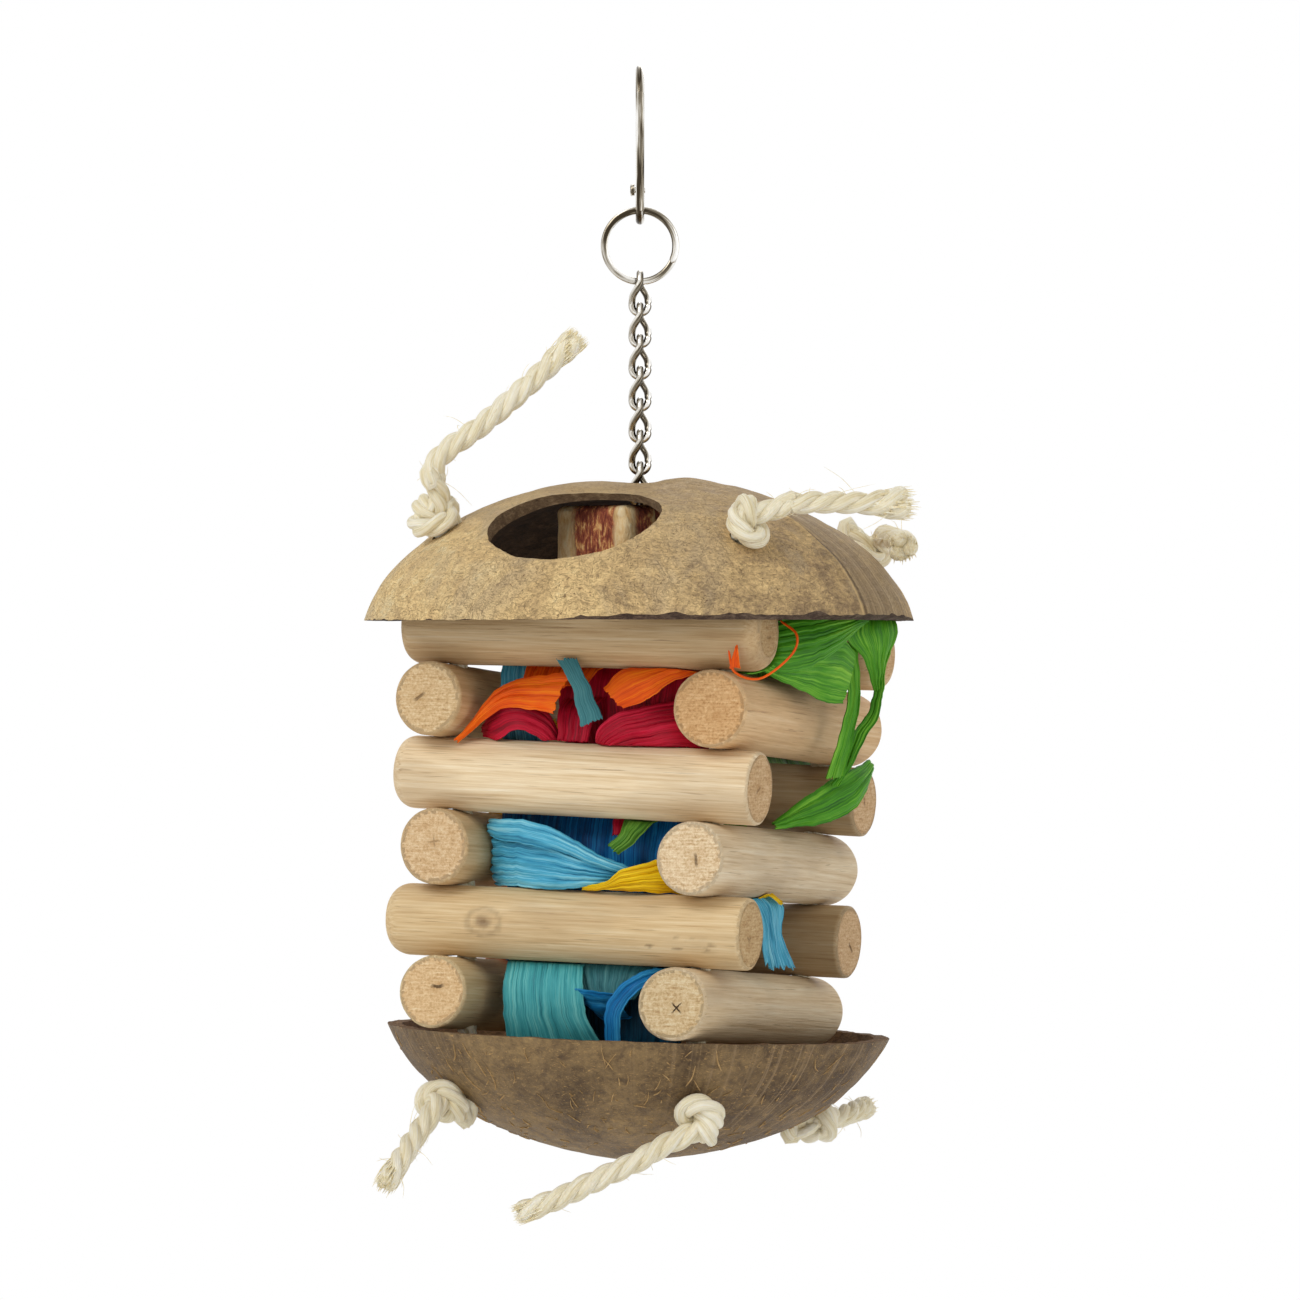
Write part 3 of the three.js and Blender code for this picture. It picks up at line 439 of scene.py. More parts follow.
class Paint(Nodes):
    """A procedural material, with short names for what it is made of."""

    def __init__(self, name, roughness=0.6, gloss=0.5, sockets=()):
        self.material = bpy.data.materials.new(name)
        super().__init__(self.material)
        self.shader = self.tree.nodes["Principled BSDF"]
        settings = {"Roughness": roughness, "Specular IOR Level": gloss, **dict(sockets)}
        for key, value in settings.items():
            self.shader.inputs[key].default_value = value

    def stretch(self, vector, x, y, z):
        return self.node("VectorMath", {0: vector, 1: (x, y, z)}, operation="MULTIPLY")

    def grain(self, across=1.0, along=1.0):
        vector = self.node("Attribute", output="Vector", attribute_name="grain")
        return self.stretch(vector, across, across, along)

    def place(self, wide=1.0, tall=1.0):
        """The object's own coordinates in millimetres, stretched."""
        return self.stretch(self.node("TexCoord", output="Object"), wide / MM, wide / MM, tall / MM)

    def fan(self, spread):
        """Coordinates that stay the same from the object's axis outwards."""
        heading = self.node("VectorMath", {0: self.place(1.0, 0.0)}, operation="NORMALIZE")
        return self.stretch(heading, spread, spread, 0.0)

    def mark(self):
        return self.node("Attribute", output="Fac", attribute_name="mark")

    def noise(self, vector, scale=1.0, detail=4.0, roughness=0.6, distortion=0.0):
        settings = {"Vector": vector, "Scale": scale, "Detail": detail, "Roughness": roughness}
        return self.node("TexNoise", {**settings, "Distortion": distortion})

    def streaks(self, across, along, detail=4.0, roughness=0.6, distortion=0.0):
        """Noise that follows the grain."""
        return self.noise(self.grain(across, along), 1.0, detail, roughness, distortion)

    def cloud(self, scale, detail=4.0, roughness=0.6, distortion=0.0, tall=1.0, wide=1.0):
        """Noise in the object's own space."""
        return self.noise(self.place(wide, tall), scale, detail, roughness, distortion)

    def times(self, a, b):
        return self.math("MULTIPLY", a, b)

    def sum(self, *shares):
        """Values times their weights, added up."""
        total = 0.0
        for value, weight in shares:
            total = self.math("ADD", self.times(value, weight), total)
        return total

    def far(self, x, y):
        """Distance from the axis."""
        return self.math("SQRT", self.math("ADD", self.times(x, x), self.times(y, y)))

    def fit(self, value, low, high, least=0.0, most=1.0):
        inputs = {"Value": value, "From Min": low, "From Max": high, "To Min": least, "To Max": most}
        return self.node("MapRange", inputs)

    def near(self, value, at, low, high, strength):
        """A strength where a value is at a place, fading between two distances from it."""
        gap = self.math("ABSOLUTE", self.math("SUBTRACT", value, at))
        return self.fit(gap, low, high, strength, 0.0)

    def parts(self, vector):
        made = self.tree.nodes.new("ShaderNodeSeparateXYZ")
        self.put(made.inputs[0], vector)
        return made.outputs

    def ramp(self, value, *stops):
        """Colours for a value, from stops of a place and a screen colour."""
        made = self.tree.nodes.new("ShaderNodeValToRGB")
        elements = made.color_ramp.elements
        while len(elements) < len(stops):
            elements.new(0.5)
        for element, (place, *colour) in zip(elements, stops):
            element.position = place
            element.color = rgb(*colour)
        self.put(made.inputs[0], value)
        return made.outputs[0]

    def lay(self, share, tint, blend="MIX"):
        """Lays a share of a colour over the paint's own."""
        inputs = {0: share, 6: self.colour, 7: tint}
        self.colour = self.node("Mix", inputs, 2, data_type="RGBA", blend_type=blend)

    def over(self, value, low, high, strength, tint):
        """Lays a screen colour over the paint's own where a value rises from low to high."""
        self.lay(self.fit(value, low, high, 0.0, strength), rgb(*tint))

    def finish(self, height, depth, rough=None):
        """Joins the colour, bump height (its depth in millimetres) and roughness (a noise and its range)."""
        self.put(self.shader.inputs["Base Color"], self.colour)
        bump = self.node("Bump", {"Height": height, "Strength": 1.0, "Distance": depth * MM})
        self.put(self.shader.inputs["Normal"], bump)
        if rough:
            value, least, most = rough
            self.put(self.shader.inputs["Roughness"], self.fit(value, 0.3, 0.7, least, most))
        return self.material


def wood_paint(name, tint):
    paint = Paint("wood_" + name, gloss=0.25)
    fine = paint.streaks(1.5, 0.045, 5, 0.65)
    broad = paint.streaks(0.3, 0.012, 4, 0.6, 0.5)
    patch = paint.streaks(0.06, 0.02, 3)
    line = paint.streaks(2.4, 0.07, 2)
    paint.colour = paint.ramp(
        paint.sum((fine, 0.56), (broad, 0.44)),
        (0.32, 192, 156, 112), (0.45, 222, 191, 147), (0.56, 236, 210, 170), (0.7, 247, 230, 200),
    )
    paint.over(patch, 0.5, 0.7, 0.55, (184, 158, 124))
    paint.over(line, 0.62, 0.74, 0.6, (140, 104, 66))
    # The side tint is partly the stick's own tone and partly painted shade.
    paint.lay(1.0, (*tint, 1.0), "MULTIPLY")
    paint.lay(paint.mark(), rgb(92, 62, 40))
    return paint.finish(paint.sum((fine, 0.6), (line, -0.4)), 0.22, (fine, 0.55, 0.75))


def end_paint(name, tint, arms):
    paint = Paint("end_" + name, gloss=0.2)
    x, y, seed = paint.parts(paint.grain())
    far = paint.far(x, y)
    sway = paint.streaks(0.25, 1.0, 3)
    rings = paint.math("SINE", paint.sum((far, 2.6), (sway, 7.0)))
    pores = paint.streaks(1.5, 1.0, 5, 0.75)
    saw = paint.noise(paint.stretch(paint.grain(), 0.25, 2.2, 1.0))
    paint.colour = paint.ramp(
        paint.sum((rings, 0.014), (pores, 0.62), (saw, 0.38)),
        (0.33, 166, 126, 82), (0.44, 205, 168, 122), (0.55, 226, 195, 152), (0.68, 242, 222, 186),
    )
    angle = paint.math("ARCTAN2", y, x)
    spokes = paint.math("SINE", paint.sum((angle, arms / 2), (seed, 1.9), (sway, 1.5)))
    thin = paint.times(far, paint.math("ABSOLUTE", spokes))
    ragged = paint.math("ADD", thin, paint.fit(pores, 0.3, 0.7, -0.12, 0.12))
    short = paint.fit(far, 0.9, 2.0, 1.0, 0.0)
    crack = paint.times(paint.fit(ragged, 0.16, 0.42, 1.0, 0.0), short)
    crack = paint.times(crack, paint.mark())
    halo = paint.fit(paint.sum((far, 1.0), (pores, 1.5)), 1.0, 4.0, 0.45, 0.0)
    paint.lay(halo, rgb(190, 148, 98))
    paint.lay(1.0, (*tint, 1.0), "MULTIPLY")
    paint.lay(crack, rgb(62, 42, 26))
    height = paint.sum((pores, 0.8), (saw, 0.5), (crack, -1.5))
    return paint.finish(height, 0.35, (pores, 0.7, 0.9))


SISAL_DEPTH = {"Subsurface Radius": (0.002, 0.0016, 0.001)}


def sisal_paint():
    paint = Paint("sisal", 0.65, sockets={"Sheen Weight": 0.25, "Subsurface Weight": 0.08, **SISAL_DEPTH})
    fibre = paint.streaks(2.6, 0.1, 4, 0.7)
    broad = paint.streaks(0.5, 0.08, 3)
    paint.colour = paint.ramp(
        paint.sum((fibre, 0.6), (broad, 0.4)),
        (0.34, 212, 192, 142), (0.46, 236, 224, 188), (0.56, 247, 239, 215), (0.7, 253, 250, 238),
    )
    return paint.finish(fibre, 0.4)


def fibre_ends_paint():
    paint = Paint("sisal_fibre", 0.6, sockets={"Subsurface Weight": 0.1, **SISAL_DEPTH})
    tone = paint.cloud(0.8, 3)
    paint.colour = paint.ramp(tone, (0.35, 226, 208, 158), (0.5, 240, 229, 194), (0.65, 252, 247, 228))
    return paint.finish(tone, 0.05)


def roof_paint():
    paint = Paint("coconut_pale", gloss=0.2)
    x, y, z = paint.parts(paint.place())
    whirl = paint.cloud(0.045, 6, 0.65, 2.2)
    blotch = paint.cloud(0.11, 5, 0.7, 1.2)
    fleck = paint.cloud(0.5, 5, 0.75, 0.0, 2.2)
    # The x term makes the roof paler towards its left and darker towards its right: painted light from the
    # left.
    paint.colour = paint.ramp(
        paint.sum((whirl, 0.36), (blotch, 0.31), (fleck, 0.38), (x, -0.0013)),
        (0.36, 152, 127, 94), (0.44, 192, 162, 116), (0.52, 222, 189, 134),
        (0.6, 239, 207, 148), (0.7, 247, 225, 174),
    )
    weathered = paint.cloud(0.028, 4, 0.6, 1.0)
    paint.over(weathered, 0.5, 0.62, 0.5, (190, 170, 138))
    top = paint.sum((z, 1.0), (blotch, 14.0))
    paint.over(top, -112.0, -97.0, 0.75, (168, 141, 102))
    vein = paint.near(paint.cloud(0.16, 3, 0.6, 3.0), 0.5, 0.0, 0.018, 0.45)
    paint.lay(vein, rgb(112, 92, 72))
    hair = paint.near(paint.cloud(0.55, 3, 0.6, 2.0, 1.8), 0.5, 0.0, 0.02, 0.4)
    paint.lay(hair, rgb(124, 98, 68))
    paint.over(paint.cloud(0.9, 2), 0.66, 0.74, 0.7, (96, 66, 44))

    # Stripes on one side of the ridge, by millimetres past it round the shell
    past = paint.sum((y, math.cos(ROOF_RIDGE)), (x, -math.sin(ROOF_RIDGE)))
    out = paint.sum((x, math.cos(ROOF_RIDGE)), (y, math.sin(ROOF_RIDGE)))
    ridge_half = paint.fit(out, 24.0, 40.0)
    stripes = paint.noise(paint.fan(38.0), 1.0, 4, 0.7, 0.4)
    striped = paint.ramp(stripes, (0.35, 122, 101, 76), (0.5, 156, 132, 98), (0.65, 184, 159, 122))
    fade = paint.fit(paint.sum((past, 1.0), (blotch, 34.0), (whirl, 30.0)), 44.0, 76.0, 1.0, 0.0)
    sector = paint.times(paint.fit(past, 0.4, 2.4, 0, 0.85), paint.times(ridge_half, fade))
    paint.lay(sector, striped)
    # The pale crest line along the ridge is a painted highlight, and the dark groove just past it is painted
    # shade.
    crest = paint.near(past, -0.9, 0.5, 1.5, 0.8)
    paint.lay(paint.times(crest, ridge_half), rgb(216, 184, 130))
    groove = paint.near(past, 0.5, 0.2, 0.8, 0.7)
    paint.lay(paint.times(groove, ridge_half), rgb(84, 64, 48))
    height = paint.sum((blotch, 0.7), (fleck, 0.6), (stripes, 0.25), (vein, -0.4), (hair, -0.4))
    return paint.finish(height, 0.62, (blotch, 0.62, 0.85))


def fibre_paint(name, dark, middle, light, scale=1.0):
    """Rough broken shell, seen on cut edges and insides."""
    paint = Paint(name, gloss=0.15)
    broad = paint.cloud(0.25 * scale, 5, 0.7, 0.8, 1.6)
    fine = paint.cloud(1.1 * scale, 4, 0.75, 0.0, 2.5)
    tone = paint.sum((broad, 0.55), (fine, 0.45))
    paint.colour = paint.ramp(tone, (0.36, *dark), (0.5, *middle), (0.64, *light))
    return paint.finish(tone, 0.7, (fine, 0.75, 0.95))


def bowl_paint():
    paint = Paint("coconut_dark", gloss=0.3)
    lines = paint.noise(paint.fan(34.0), 1.3, 5, 0.7, 0.5)
    broad = paint.cloud(0.05, 5, 0.65, 1.0)
    fleck = paint.cloud(0.6, 5, 0.75)
    x = paint.parts(paint.place())[0]
    side = paint.fit(paint.math("ABSOLUTE", x), 20.0, 46.0, 0.15, 0.75)
    lined = paint.times(lines, side)
    right = paint.fit(x, 0.0, 50.0)
    # The side and right terms darken the bowl towards its left and right edges and towards its right:
    # painted shade.
    paint.colour = paint.ramp(
        paint.sum((broad, 0.6), (fleck, 0.42), (lined, 0.2), (side, -0.14), (right, -0.05)),
        (0.36, 80, 61, 39), (0.48, 119, 96, 64), (0.58, 144, 118, 79), (0.72, 182, 150, 99),
    )
    streak = paint.times(paint.fit(lines, 0.54, 0.66), side)
    paint.lay(streak, rgb(160, 134, 100))
    bits = paint.cloud(1.1, 2, 0.6, 3.5, wide=0.35)
    paint.over(bits, 0.6, 0.7, 0.75, (196, 156, 98))
    paint.over(paint.cloud(0.13, 4, 0.7, 1.5), 0.52, 0.7, 0.6, (70, 52, 38))
    height = paint.sum((fleck, 0.5), (bits, 0.5), (lined, 1.2))
    return paint.finish(height, 0.5, (fleck, 0.5, 0.72))


def nickel_paint():
    paint = Paint("nickel", sockets={"Metallic": 1.0})
    # Dark and bright streaks along the wire: partly tarnish, partly painted reflections and highlights that
    # the white surroundings do not give the metal.
    tarnish_and_reflections = paint.streaks(0.75, 0.05, 3, 0.5)
    scratch = paint.streaks(2.5, 0.2, 3)
    paint.colour = paint.ramp(
        paint.sum((tarnish_and_reflections, 0.85), (scratch, 0.15)),
        (0.41, 62, 54, 42), (0.48, 136, 127, 110), (0.54, 212, 207, 197), (0.6, 247, 245, 241),
    )
    return paint.finish(scratch, 0.03, (tarnish_and_reflections, 0.3, 0.14))


def bark_paint():
    paint = Paint("bark_block", gloss=0.3)
    flake = paint.cloud(0.4, 6, 0.7, 1.0, 0.45)
    fine = paint.cloud(1.3, 4, 0.7, 0.0, 0.25)
    tone = paint.sum((flake, 0.6), (fine, 0.4))
    # The bark colours are set lighter than the bark's own: painted light on a block that sits in the roof's
    # shade.
    paint.colour = paint.ramp(
        tone,
        (0.38, 84, 33, 27), (0.47, 148, 72, 52), (0.53, 194, 116, 76), (0.57, 240, 186, 116),
        (0.66, 252, 224, 172),
    )
    # Pale bare wood, widened on one corner as painted light.
    bare = paint.ramp(tone, (0.35, 214, 164, 98), (0.5, 242, 208, 152), (0.65, 252, 236, 198))
    share = paint.fit(paint.sum((paint.mark(), 1.0), (flake, 4.0)), 4.9, 5.9, 1.0, 0.0)
    paint.lay(share, bare)
    height = paint.sum((flake, 1.0), (fine, 0.6))
    return paint.finish(height, 0.8, (fine, 0.55, 0.85))


HUSK_DEPTH = {"Subsurface Weight": 0.12, "Subsurface Radius": (0.0015, 0.0012, 0.001)}


def husk_paint(name, dark, middle, light):
    paint = Paint("husk_" + name, gloss=0.22, sockets=HUSK_DEPTH)
    vein = paint.streaks(2.4, 0.05, 3)
    rib = paint.streaks(0.7, 0.025, 3, 0.55)
    patch = paint.streaks(0.1, 0.06, 3)
    tone = paint.sum((vein, 0.45), (rib, 0.3), (patch, 0.25))
    paint.colour = paint.ramp(tone, (0.36, *dark), (0.5, *middle), (0.64, *light))
    return paint.finish(paint.sum((vein, 0.7), (rib, 0.5)), 0.3, (rib, 0.45, 0.65))


sisal = sisal_paint()
sisal_fibre = fibre_ends_paint()
roof_pale = roof_paint()
hole_wall = fibre_paint("hole_wall", (70, 54, 40), (108, 87, 64), (146, 122, 92))
roof_edge = fibre_paint("roof_edge", (44, 34, 30), (84, 68, 58), (128, 110, 92))
roof_inner = fibre_paint("roof_inside", (38, 28, 20), (66, 50, 36), (94, 74, 54))
bowl_dark = bowl_paint()
fibre_gold = fibre_paint("fibre_gold", (148, 114, 70), (188, 152, 102), (222, 190, 140), 2.0)
bowl_edge = fibre_paint("bowl_edge", (66, 48, 34), (112, 86, 60), (160, 128, 92), 1.6)
bowl_inner = fibre_paint("bowl_inside", (72, 52, 36), (112, 86, 60), (146, 116, 84))
nickel = nickel_paint()
bark = bark_paint()
HUSK_TONES = {
    "orange": ((200, 54, 0), (241, 94, 0), (255, 136, 12)),
    "teal": ((32, 108, 118), (66, 160, 165), (118, 198, 194)),
    "slate": ((34, 84, 92), (58, 120, 126), (92, 150, 152)),
    "crimson": ((104, 0, 22), (178, 4, 40), (218, 36, 70)),
    "blue": ((24, 100, 136), (78, 170, 200), (160, 222, 232)),
    "navy": ((0, 44, 90), (0, 92, 156), (34, 142, 204)),
    # A darker copy of navy: painted shade for the husk that lies in shadow.
    "shaded_navy": ((0, 24, 38), (0, 52, 76), (18, 90, 114)),
    # An olive green, made darker as painted shade for the husks that lie in shadow.
    "shaded_olive": ((26, 66, 10), (74, 126, 34), (128, 172, 70)),
    "azure": ((0, 70, 126), (18, 122, 182), (70, 170, 216)),
    "green": ((22, 84, 8), (72, 146, 20), (138, 198, 62)),
    "yellow": ((168, 118, 0), (224, 178, 0), (252, 222, 30)),
}
HUSKS = {name: husk_paint(name, *tones) for name, tones in HUSK_TONES.items()}


# Camera, light and floor
def studio():
    scene = bpy.context.scene
    scene.view_settings.view_transform = "Standard"
    scene.world = surroundings()
    camera = link_object("camera", bpy.data.cameras.new("camera"))
    camera.data.sensor_width = CAMERA_SENSOR
    camera.data.lens = CAMERA_LENS
    camera.data.clip_end = CAMERA_REACH * MM
    camera.location = (RIGHT * CAMERA_RIGHT - AWAY * CAMERA_DISTANCE + UP * CAMERA_HEIGHT) * MM
    camera.rotation_euler = (math.pi / 2, 0, VIEW_TURN)
    scene.camera = camera
    target = Vector((0, 0, CAMERA_HEIGHT * MM))
    for name, (right, away, up, size, watts) in LAMPS.items():
        light = bpy.data.lights.new(name, "AREA")
        light.size = size
        light.energy = watts
        lamp = link_object(name, light)
        lamp.location = (RIGHT * right + AWAY * away + UP * up) * MM
        lamp.rotation_euler = (target - lamp.location).to_track_quat("-Z", "Y").to_euler()

    disc = rolled(FLOOR_RADIUS, round_turn(FLOOR_SIDES), FLOOR_HEIGHT)
    mesh = new_mesh("floor", disc, [tuple(range(FLOOR_SIDES))])
    floor = link_object("floor", mesh)
    paint = Paint("floor_white", 0.9, 0.0, {"Base Color": (0.93, 0.93, 0.93, 1)})
    x, y, _ = paint.parts(paint.place())
    share = paint.fit(paint.far(x, y), *FLOOR_FADE)
    blend = paint.node("MixShader", {0: share, 1: paint.shader.outputs[0], 2: paint.node("Emission")})
    paint.put(paint.tree.nodes["Material Output"].inputs["Surface"], blend)
    mesh.materials.append(paint.material)


def surroundings():
    """Even light, and white where a ray comes from the camera, a reflection or through something clear."""
    world = bpy.data.worlds.new("studio")
    nodes = Nodes(world)
    plain = nodes.node("Background", {"Color": (1, 1, 1, 1), "Strength": 0.5})
    white = nodes.node("Background", {"Color": (1, 1, 1, 1), "Strength": 1.0})
    ray = nodes.tree.nodes.new("ShaderNodeLightPath").outputs
    seen = nodes.math("MAXIMUM", ray["Is Camera Ray"], ray["Is Glossy Ray"])
    seen = nodes.math("MAXIMUM", seen, ray["Is Transmission Ray"])
    blend = nodes.node("MixShader", {0: seen, 1: plain, 2: white})
    nodes.put(nodes.tree.nodes["World Output"].inputs["Surface"], blend)
    return world


studio()


# Shells: their form, and the ways out of them
def shell_height(radius, rim, height, equator, power):
    """Height of a shell over its rim, at a distance from its axis."""
    full = height + equator
    widest = rim / math.sqrt(1 - (equator / full) ** power)
    share = np.maximum(1 - (np.asarray(radius) / widest) ** 2, 0)
    return full * share ** (1 / power) - equator


def inside_of(form):
    """The form of a shell's inside."""
    return dict(form, rim=form["rim"] - SHELL_WALL, height=form["height"] - SHELL_WALL)


roof_rim = corners("coconut_roof")[:, 2].min()
bowl_turn = turn_about(0, BOWL_SLANT[0]) @ turn_about(1, BOWL_SLANT[1])
bowl_place = BOWL_SHIFT + UP * ((corners("coconut_bowl") - BOWL_SHIFT) @ bowl_turn)[:, 2].max()


def over_roof(point):
    """How far a point lies over the roof."""
    reach = math.hypot(point[0], point[1] / ROOF_OVAL)
    return point[2] - roof_rim - shell_height(reach, **ROOF)


def under_bowl(point):
    """How far a point lies under the bowl."""
    x, y, z = (point - bowl_place) @ bowl_turn
    return -z - shell_height(math.hypot(x, y), **BOWL)


def out_of(shell_gap, point):
    """The way out of a shell at a point."""
    return unit(np.array([shell_gap(point + step) - shell_gap(point) for step in np.eye(3) * 0.01]))


def to_bowl(points):
    """From a shell over the XY plane to the bowl, upside down in its place."""
    return (points * np.array([1, -1, -1])) @ bowl_turn.T + bowl_place


# Ropes: three strands laid left-handed
def strands(shape, path, turn=0.0, flare=0.0, thin=1.0):
    """Three strands round a path."""
    _, side, over = carried_frames(path)
    reach = way(path)
    open_end = 1 + flare * smoothstep(reach, reach[-1] - FLARE_LENGTH, reach[-1])
    twist = turn - 2 * math.pi * reach / ROPE_PITCH
    for k in range(3):
        angle = (twist + 2 * math.pi * k / 3)[:, None]
        offset = (STRAND_OFFSET * thin * open_end)[:, None]
        centre = path + offset * (np.cos(angle) * side + np.sin(angle) * over)
        lumps = 1 + 0.07 * ripple(centre, 4.0, 11.3 * k)
        tube(shape, centre, STRAND_RADIUS * thin * lumps * open_end, sides=12, seed=70.0 * k)


def knot_points(centre, out, tail, ways):
    """Places in an overhand knot, from its centre, the way out of the shell and the way to its tail."""
    back = -unit(tail - out * (tail @ out))
    across = np.cross(back, out)
    return [centre + KNOT_UNIT * (a * across + b * back + c * out) for a, b, c in ways]


def knot_centre(corner, top):
    """A rope's knot is a ball in the CAD, whose poles lie along Y."""
    spots = corners("rope_" + corner)
    end = spots[:, 2].max() if top else spots[:, 2].min()
    near = spots[abs(spots[:, 2] - end) < KNOT_DIAMETER * 0.8]
    return (near[near[:, 1].argmin()] + near[near[:, 1].argmax()]) / 2


def fibre(shape, points, radius):
    """One loose fibre."""
    path = spline(points, count=12)
    tube(shape, path, radius * np.linspace(1, 0.5, len(path)), sides=5)


def fray(name, path, flare, draws):
    """Brush of fibres at a rope's cut end, and loose fibres along it."""
    shape = Shape()
    along, side, over = carried_frames(path)

    def sideways(spot):
        angle = draws.uniform(0, 2 * math.pi)
        return math.cos(angle) * side[spot] + math.sin(angle) * over[spot]

    for _ in range(BRUSH_FIBRES if flare > WIDE_FLARE else NARROW_BRUSH_FIBRES):
        start = len(path) - 1 - draws.randint(8, 16)
        way_out = sideways(-1)
        out = ROPE_DIAMETER / 2 * math.sqrt(draws.random())
        wide = out * (1 + flare * draws.uniform(0.8, 1.25)) + draws.uniform(-0.2, 0.3)
        tip = path[-1] + along[-1] * draws.uniform(0.2, 1.2 + 2 * flare) + way_out * wide
        middle = (path[start] + path[-1]) / 2 + way_out * (out * (1 + 0.5 * flare) + draws.uniform(0, 0.3))
        root = path[start] + way_out * out * 0.8
        fibre(shape, [root, middle, tip], draws.uniform(0.1, 0.22))
    for number in range(LOOSE_FIBRES):
        start = draws.randint(4, len(path) - 4)
        way_out = sideways(start)
        drift = along[start] * draws.uniform(-1, 1)
        drift = drift + np.array([draws.uniform(-1, 1) for _ in range(3)]) * 0.4
        root = path[start] + way_out * (ROPE_DIAMETER / 2 - 0.5)
        length = draws.uniform(2.0, 5.0) if number < SHORT_FIBRES else draws.uniform(7.0, 12.0)
        bend = root + (way_out * 0.6 + drift) * length * 0.5
        fibre(shape, [root, bend, bend + (way_out * 0.3 + drift * 1.2) * length * 0.5], 0.09)
    return piece("fray_" + name, shape, [sisal_fibre])


def ropes():
    for corner in CORNERS:
        ends = {}
        for end, shell_gap in (("bowl", under_bowl), ("roof", over_roof)):
            centre = knot_centre(corner, end == "roof")
            route = np.array(TAILS[f"{end}_{corner}"], float)
            ends[end] = (centre, out_of(shell_gap, centre), unit(route[0] - centre), route)
        foot = knot_points(*ends["bowl"][:3], KNOT_WAY)
        head = knot_points(*ends["roof"][:3], KNOT_WAY)
        shape = Shape()
        strands(shape, spline(foot[::-1] + head, ROPE_STEP), thin=0.9)
        piece("laid_rope_" + corner, shape, [sisal], "rope_" + corner)
        for end, (centre, out, heading, route) in ends.items():
            name = f"{end}_{corner}"
            draws = random.Random(name)
            straight = centre + heading * (KNOT_DIAMETER / 2 + GAP + ROPE_DIAMETER)
            tuck = knot_points(centre, out, heading, TUCK_WAY)
            path = spline([*tuck, straight, *route], ROPE_STEP)
            flare = FLARES.get(name, LEAST_FLARE)
            shape = Shape()
            strands(shape, path, draws.uniform(0, 6), flare)
            tail = piece("laid_tail_" + name, shape, [sisal], "tail_" + name)
            brush = fray(name, path, flare, draws)


ropes()


# Hanger: clip, gate, rivet, ring and chain, in the plane that holds the view axis
def hung(points):
    """From the hanger's own axes, across the view, along it and up, to the hut's."""
    points = np.asarray(points, float)
    return points[..., :1] * RIGHT + points[..., 1:2] * AWAY + points[..., 2:] * UP


def arc(centre, radius, start, end, count):
    """Points of an arc in the clip's plane."""
    return centre + rolled(radius, np.linspace(start, end, count), 0.0)[:, [2, 0, 1]]


def clip_and_gate():
    top = UP * (CLIP_WIRE / 2 - CLIP_TOP_RADIUS)
    bottom = UP * (CLIP_WIRE * 1.5 - CLIP_HEIGHT + CLIP_BOTTOM_RADIUS)
    span = top[2] - bottom[2]
    lean = math.asin((CLIP_TOP_RADIUS - CLIP_BOTTOM_RADIUS) / span)
    gate_up = np.array([0, math.sin(lean), math.cos(lean)])
    gate_foot = bottom + CLIP_BOTTOM_RADIUS * np.array([0, math.cos(lean), -math.sin(lean)])
    rivet = gate_foot + gate_up * RIVET_RISE
    nose = gate_foot + gate_up * (span * math.cos(lean) - NOSE_LENGTH)
    tip = nose - gate_up * GAP

    def eye(shape, low, high):
        soft = min(EYE_SOFT, (high - low) / 3)
        narrow = EYE_RADIUS - soft
        profile = [(narrow, low), (EYE_RADIUS, low + soft), (EYE_RADIUS, high - soft), (narrow, high)]
        lathe(shape, profile, hung(rivet), RIGHT)

    clip = Shape()
    bends = [
        *arc(bottom, CLIP_BOTTOM_RADIUS, -lean, lean - math.pi, 14),
        *arc(top, CLIP_TOP_RADIUS, math.pi + lean, -lean, 22),
    ]
    tube(clip, hung(spline([rivet, *bends, nose], 0.5)), CLIP_WIRE / 2, sides=20)
    eye(clip, GAP / 2, CLIP_WIRE / 2)
    piece("clip_wire", clip, [nickel], "clip_body", "clip")
    gate = Shape()
    bar = [rivet + gate_up * GATE_START, (rivet + tip) / 2, tip]
    tube(gate, hung(spline(bar, 0.5)), GATE_WIRE / 2, sides=18)
    eye(gate, -CLIP_WIRE / 2, -GAP / 2)
    piece("gate_wire", gate, [nickel], "clip_gate", "gate")
    head = Shape()
    face = -CLIP_WIRE / 2 - GAP
    outer = face - RIVET_HEAD_HEIGHT
    profile = [
        (RIVET_HEAD / 2.6, outer), (RIVET_HEAD / 2.2, outer + 0.2), (RIVET_HEAD / 2.2, face),
        (RIVET_SHANK, face), (RIVET_SHANK, CLIP_WIRE / 2 + 0.2),
    ]
    lathe(head, profile, hung(rivet), RIGHT)
    piece("rivet_head", head, [nickel], "gate_rivet", "clip")


def split_ring():
    low, high = node_box("split_ring")
    turn = RING_FIRST_END + np.linspace(0, RING_TURN, 260)
    layer = (smoothstep(turn, *RING_LAYER_CHANGE) - 0.5) * RING_PITCH
    bend = np.radians(turn)
    path = hung(rolled(RING_MIDDLE, bend, layer)[:, [0, 2, 1]] + UP * (low[2] + high[2]) / 2)
    outward = hung(rolled(1.0, bend, 0.0)[:, [0, 2, 1]])
    along = unit(np.gradient(path, axis=0))
    section = rolled(1.0, round_turn(24), 0.0)[:, :2]
    section = np.sign(section) * abs(section) ** 0.8 * np.array([RING_DEPTH, RING_WIDTH]) / 2
    ring = Shape()
    tube(ring, path, 1.0, section=section, frames=(along, outward, np.cross(along, outward)))
    piece("ring_wire", ring, [nickel], "split_ring", "ring")


